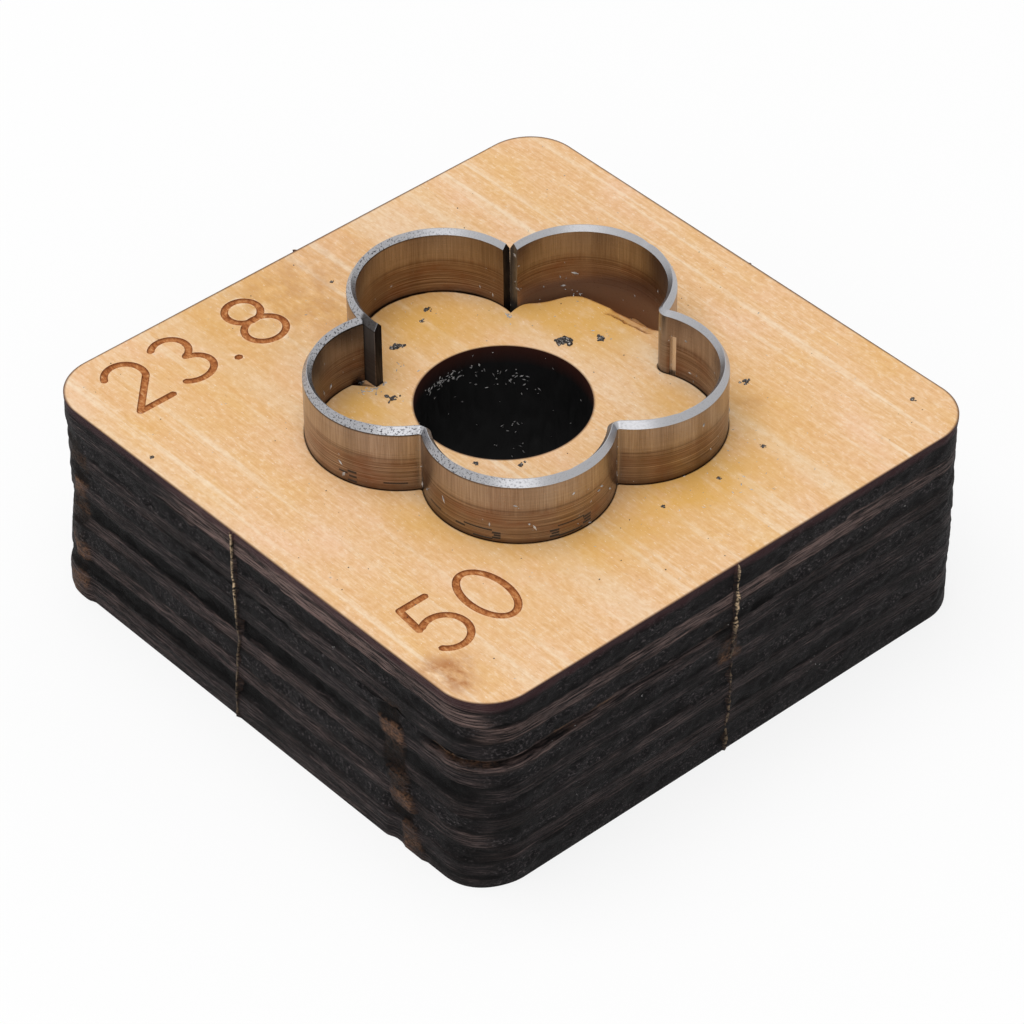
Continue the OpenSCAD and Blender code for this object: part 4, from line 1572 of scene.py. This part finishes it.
def makeDustPiece():
    # Places, facings and sizes of the flakes, one group after another
    rng = np.random.default_rng(dust["seed"])
    up = np.array([0.0, 0.0, 1.0])
    spots, facing, sizes = [], [], []

    def settle(plan, level, normal, size):
        # Adds flakes at places and heights, lying on a surface that faces along the normal
        spots.append(atHeight(plan, level))
        facing.append(np.broadcast_to(normal, (len(plan), 3)))
        sizes.append(np.broadcast_to(size, len(plan)))

    def ruleWall(pick):
        # Either wall of the rule at the picked points of its path
        normal = loopNormals[pick] * rng.choice([-1.0, 1.0], len(pick))[:, None]
        return loopPoints[pick] + normal * halfRule, atHeight(normal, 0)

    # Bore wall, in drifts on the far side
    for count, middle, spread, depth, wander, size in dust["inBore"]:
        ray = unitRay(rng.normal(middle, spread, count))
        drop = np.clip(rng.normal(depth, wander, count), *dust["boreDrops"])
        settle(holeCentre + ray * holeR, boardTop - drop, atHeight(-ray, 0), size)

    # Heaps on the wood, off the steel and the hole
    for x, y, spread, count, size in dust["heaps"]:
        plan = rng.normal((x, y), spread, (count * 3, 2))
        settle(clearOfSteel(plan, dust["heapsOff"])[:count], boardTop, up, size)

    # Both walls of the rule, more of them low down
    count, low, under, least, most = dust["onRule"]
    wall, normal = ruleWall(rng.integers(0, len(loopPoints), count))
    height = rng.uniform(low, edgeTop - boardTop - under, count) * rng.uniform(0.2, 1, count)
    settle(wall, boardTop + height, normal, dust["size"] * rng.uniform(least, most, count) ** 3)

    # Flakes caught at the bends and joints
    each, low, under, least, most, spread = dust["atBends"]
    bends = petalAxis(np.repeat(np.arange(flower["petals"]), each)) + halfStep
    caught = bends + rng.normal(0, spread / bendReach, len(bends))
    loopAngle = rayAngle(loopPoints - flowerMid)
    wall, normal = ruleWall(np.abs(wrapAngle(caught[:, None] - loopAngle[None])).argmin(1))
    height = rng.uniform(low, edgeTop - boardTop - under, len(bends))
    settle(wall, boardTop + height, normal, dust["size"] * rng.uniform(least, most, len(bends)))

    # Charred sides and the top
    outline, outNormal = boardOutline(dust["sidePoints"])
    groups, each, along, upright, depth = dust["onSide"]
    spread = rng.normal(0, 1, (2, groups * each))
    pick = np.repeat(rng.integers(0, len(outline), groups), each)
    pick = (pick + (spread[0] * along * dust["perMillimetre"]).astype(int)) % len(outline)
    level = np.repeat(rng.uniform(dust["groupMargin"], boardTop - dust["groupMargin"], groups), each)
    low, under = dust["sideMargins"]
    level = np.clip(level + spread[1] * upright, low, boardTop - under)
    settle(outline[pick] - depth * outNormal[pick], level, atHeight(outNormal[pick], 0), dust["size"])
    count, within, off = dust["onTop"]
    top = rng.uniform(-within, within, (count * 3, 2))
    settle(clearOfSteel(top, off)[:count], boardTop, up, dust["size"])

    points, faces = flakes(*(np.concatenate(part) for part in (spots, facing, sizes)), dust["seed"])
    piece = addPiece("dust_flakes", points, faces, [dustWhite])


makeDustPiece()
print("dust made")


# Studio: pale floor, white surround, one large soft light above and a fill from the front

studio = {
    "floorHalf": 1.5,
    "floorZ": -0.02 * mm,
    "floorGlow": 0.8,
    "world": 0.5,
    "keyPower": 6.7,
    "keySize": 0.9,
    "keyPlace": (-0.15, 0.1, 1.0),
    "fillPower": 2.2,
    "fillSize": 0.8,
    "fillPlace": (-0.7, -0.75, 0.45),
}


def seenRays(owner):
    # 1 for rays that show the surface, straight, reflected or through glass, and 0 for those that light
    path = addNode(owner, "LightPath")
    seen = path["Is Camera Ray"]
    for kind in ("Is Glossy Ray", "Is Transmission Ray"):
        seen = addNode(owner, "Math", {0: seen, 1: path[kind]}, operation="MAXIMUM")[0]
    return seen


def makeFloor():
    # White paper that glows a little where it is seen
    half, low = studio["floorHalf"], studio["floorZ"]
    corners = [(x * half, y * half, low) for x, y in ((-1, -1), (1, -1), (1, 1), (-1, 1))]
    mesh = bpy.data.meshes.new("floor")
    mesh.from_pydata(corners, [], [(0, 1, 2, 3)])
    floor = bpy.data.objects.new("floor", mesh)
    bpy.context.scene.collection.objects.link(floor)
    material, _, _ = newMaterial("paper_sweep_white", {})
    glow = {0: seenRays(material), 1: studio["floorGlow"]}
    glow = addNode(material, "Math", glow, operation="MULTIPLY")[0]
    paper = addNode(material, "BsdfDiffuse", {"Color": "#F4F4F4"})[0]
    light = addNode(material, "Emission", {"Color": "#FFFFFF", "Strength": 1.0})[0]
    mix = addNode(material, "MixShader", {0: glow, 1: paper, 2: light})[0]
    addNode(material, "OutputMaterial", {"Surface": mix})
    mesh.materials.append(material)


def makeWorld():
    # White where it is seen, and dimmer as a light
    world = bpy.data.worlds.new("studio_white")
    world.use_nodes = True
    world.node_tree.nodes.clear()
    level = addNode(world, "MapRange", {"Value": seenRays(world), 3: studio["world"], 4: 1.0})[0]
    sky = addNode(world, "Background", {"Color": "#FFFFFF", "Strength": level})[0]
    addNode(world, "OutputWorld", {"Surface": sky})
    bpy.context.scene.world = world


def addSoftLight(name, place, size, power):
    # A square light that faces the part
    light = bpy.data.lights.new(name, "AREA")
    light.shape = "SQUARE"
    light.size = size
    light.energy = power
    lamp = bpy.data.objects.new(name, light)
    lamp.location = place
    lamp.rotation_euler = (-Vector(place)).to_track_quat("-Z", "Y").to_euler()
    bpy.context.scene.collection.objects.link(lamp)


# Camera at the photograph's place: its axes in columns, then its position in metres
view = {
    "lens": 165.35,
    "sensor": 36.0,
    "right": (0.74557, -0.66639, -0.00709),
    "up": (0.43616, 0.47990, 0.76123),
    "back": (-0.50387, -0.57064, 0.64845),
    "place": (-0.18085, -0.20499, 0.23982),
}


def makeCamera():
    # The camera's axes are the columns of its turn
    data = bpy.data.cameras.new("camera")
    data.lens = view["lens"]
    data.sensor_width = view["sensor"]
    camera = bpy.data.objects.new("camera", data)
    axes = Matrix((view["right"], view["up"], view["back"])).transposed()
    camera.matrix_world = Matrix.Translation(view["place"]) @ axes.to_4x4()
    bpy.context.scene.collection.objects.link(camera)
    bpy.context.scene.camera = camera


makeFloor()
makeWorld()
addSoftLight("key_softbox", studio["keyPlace"], studio["keySize"], studio["keyPower"])
addSoftLight("fill_softbox", studio["fillPlace"], studio["fillSize"], studio["fillPower"])
makeCamera()
bpy.context.scene.view_settings.view_transform = "Standard"
print("studio made")
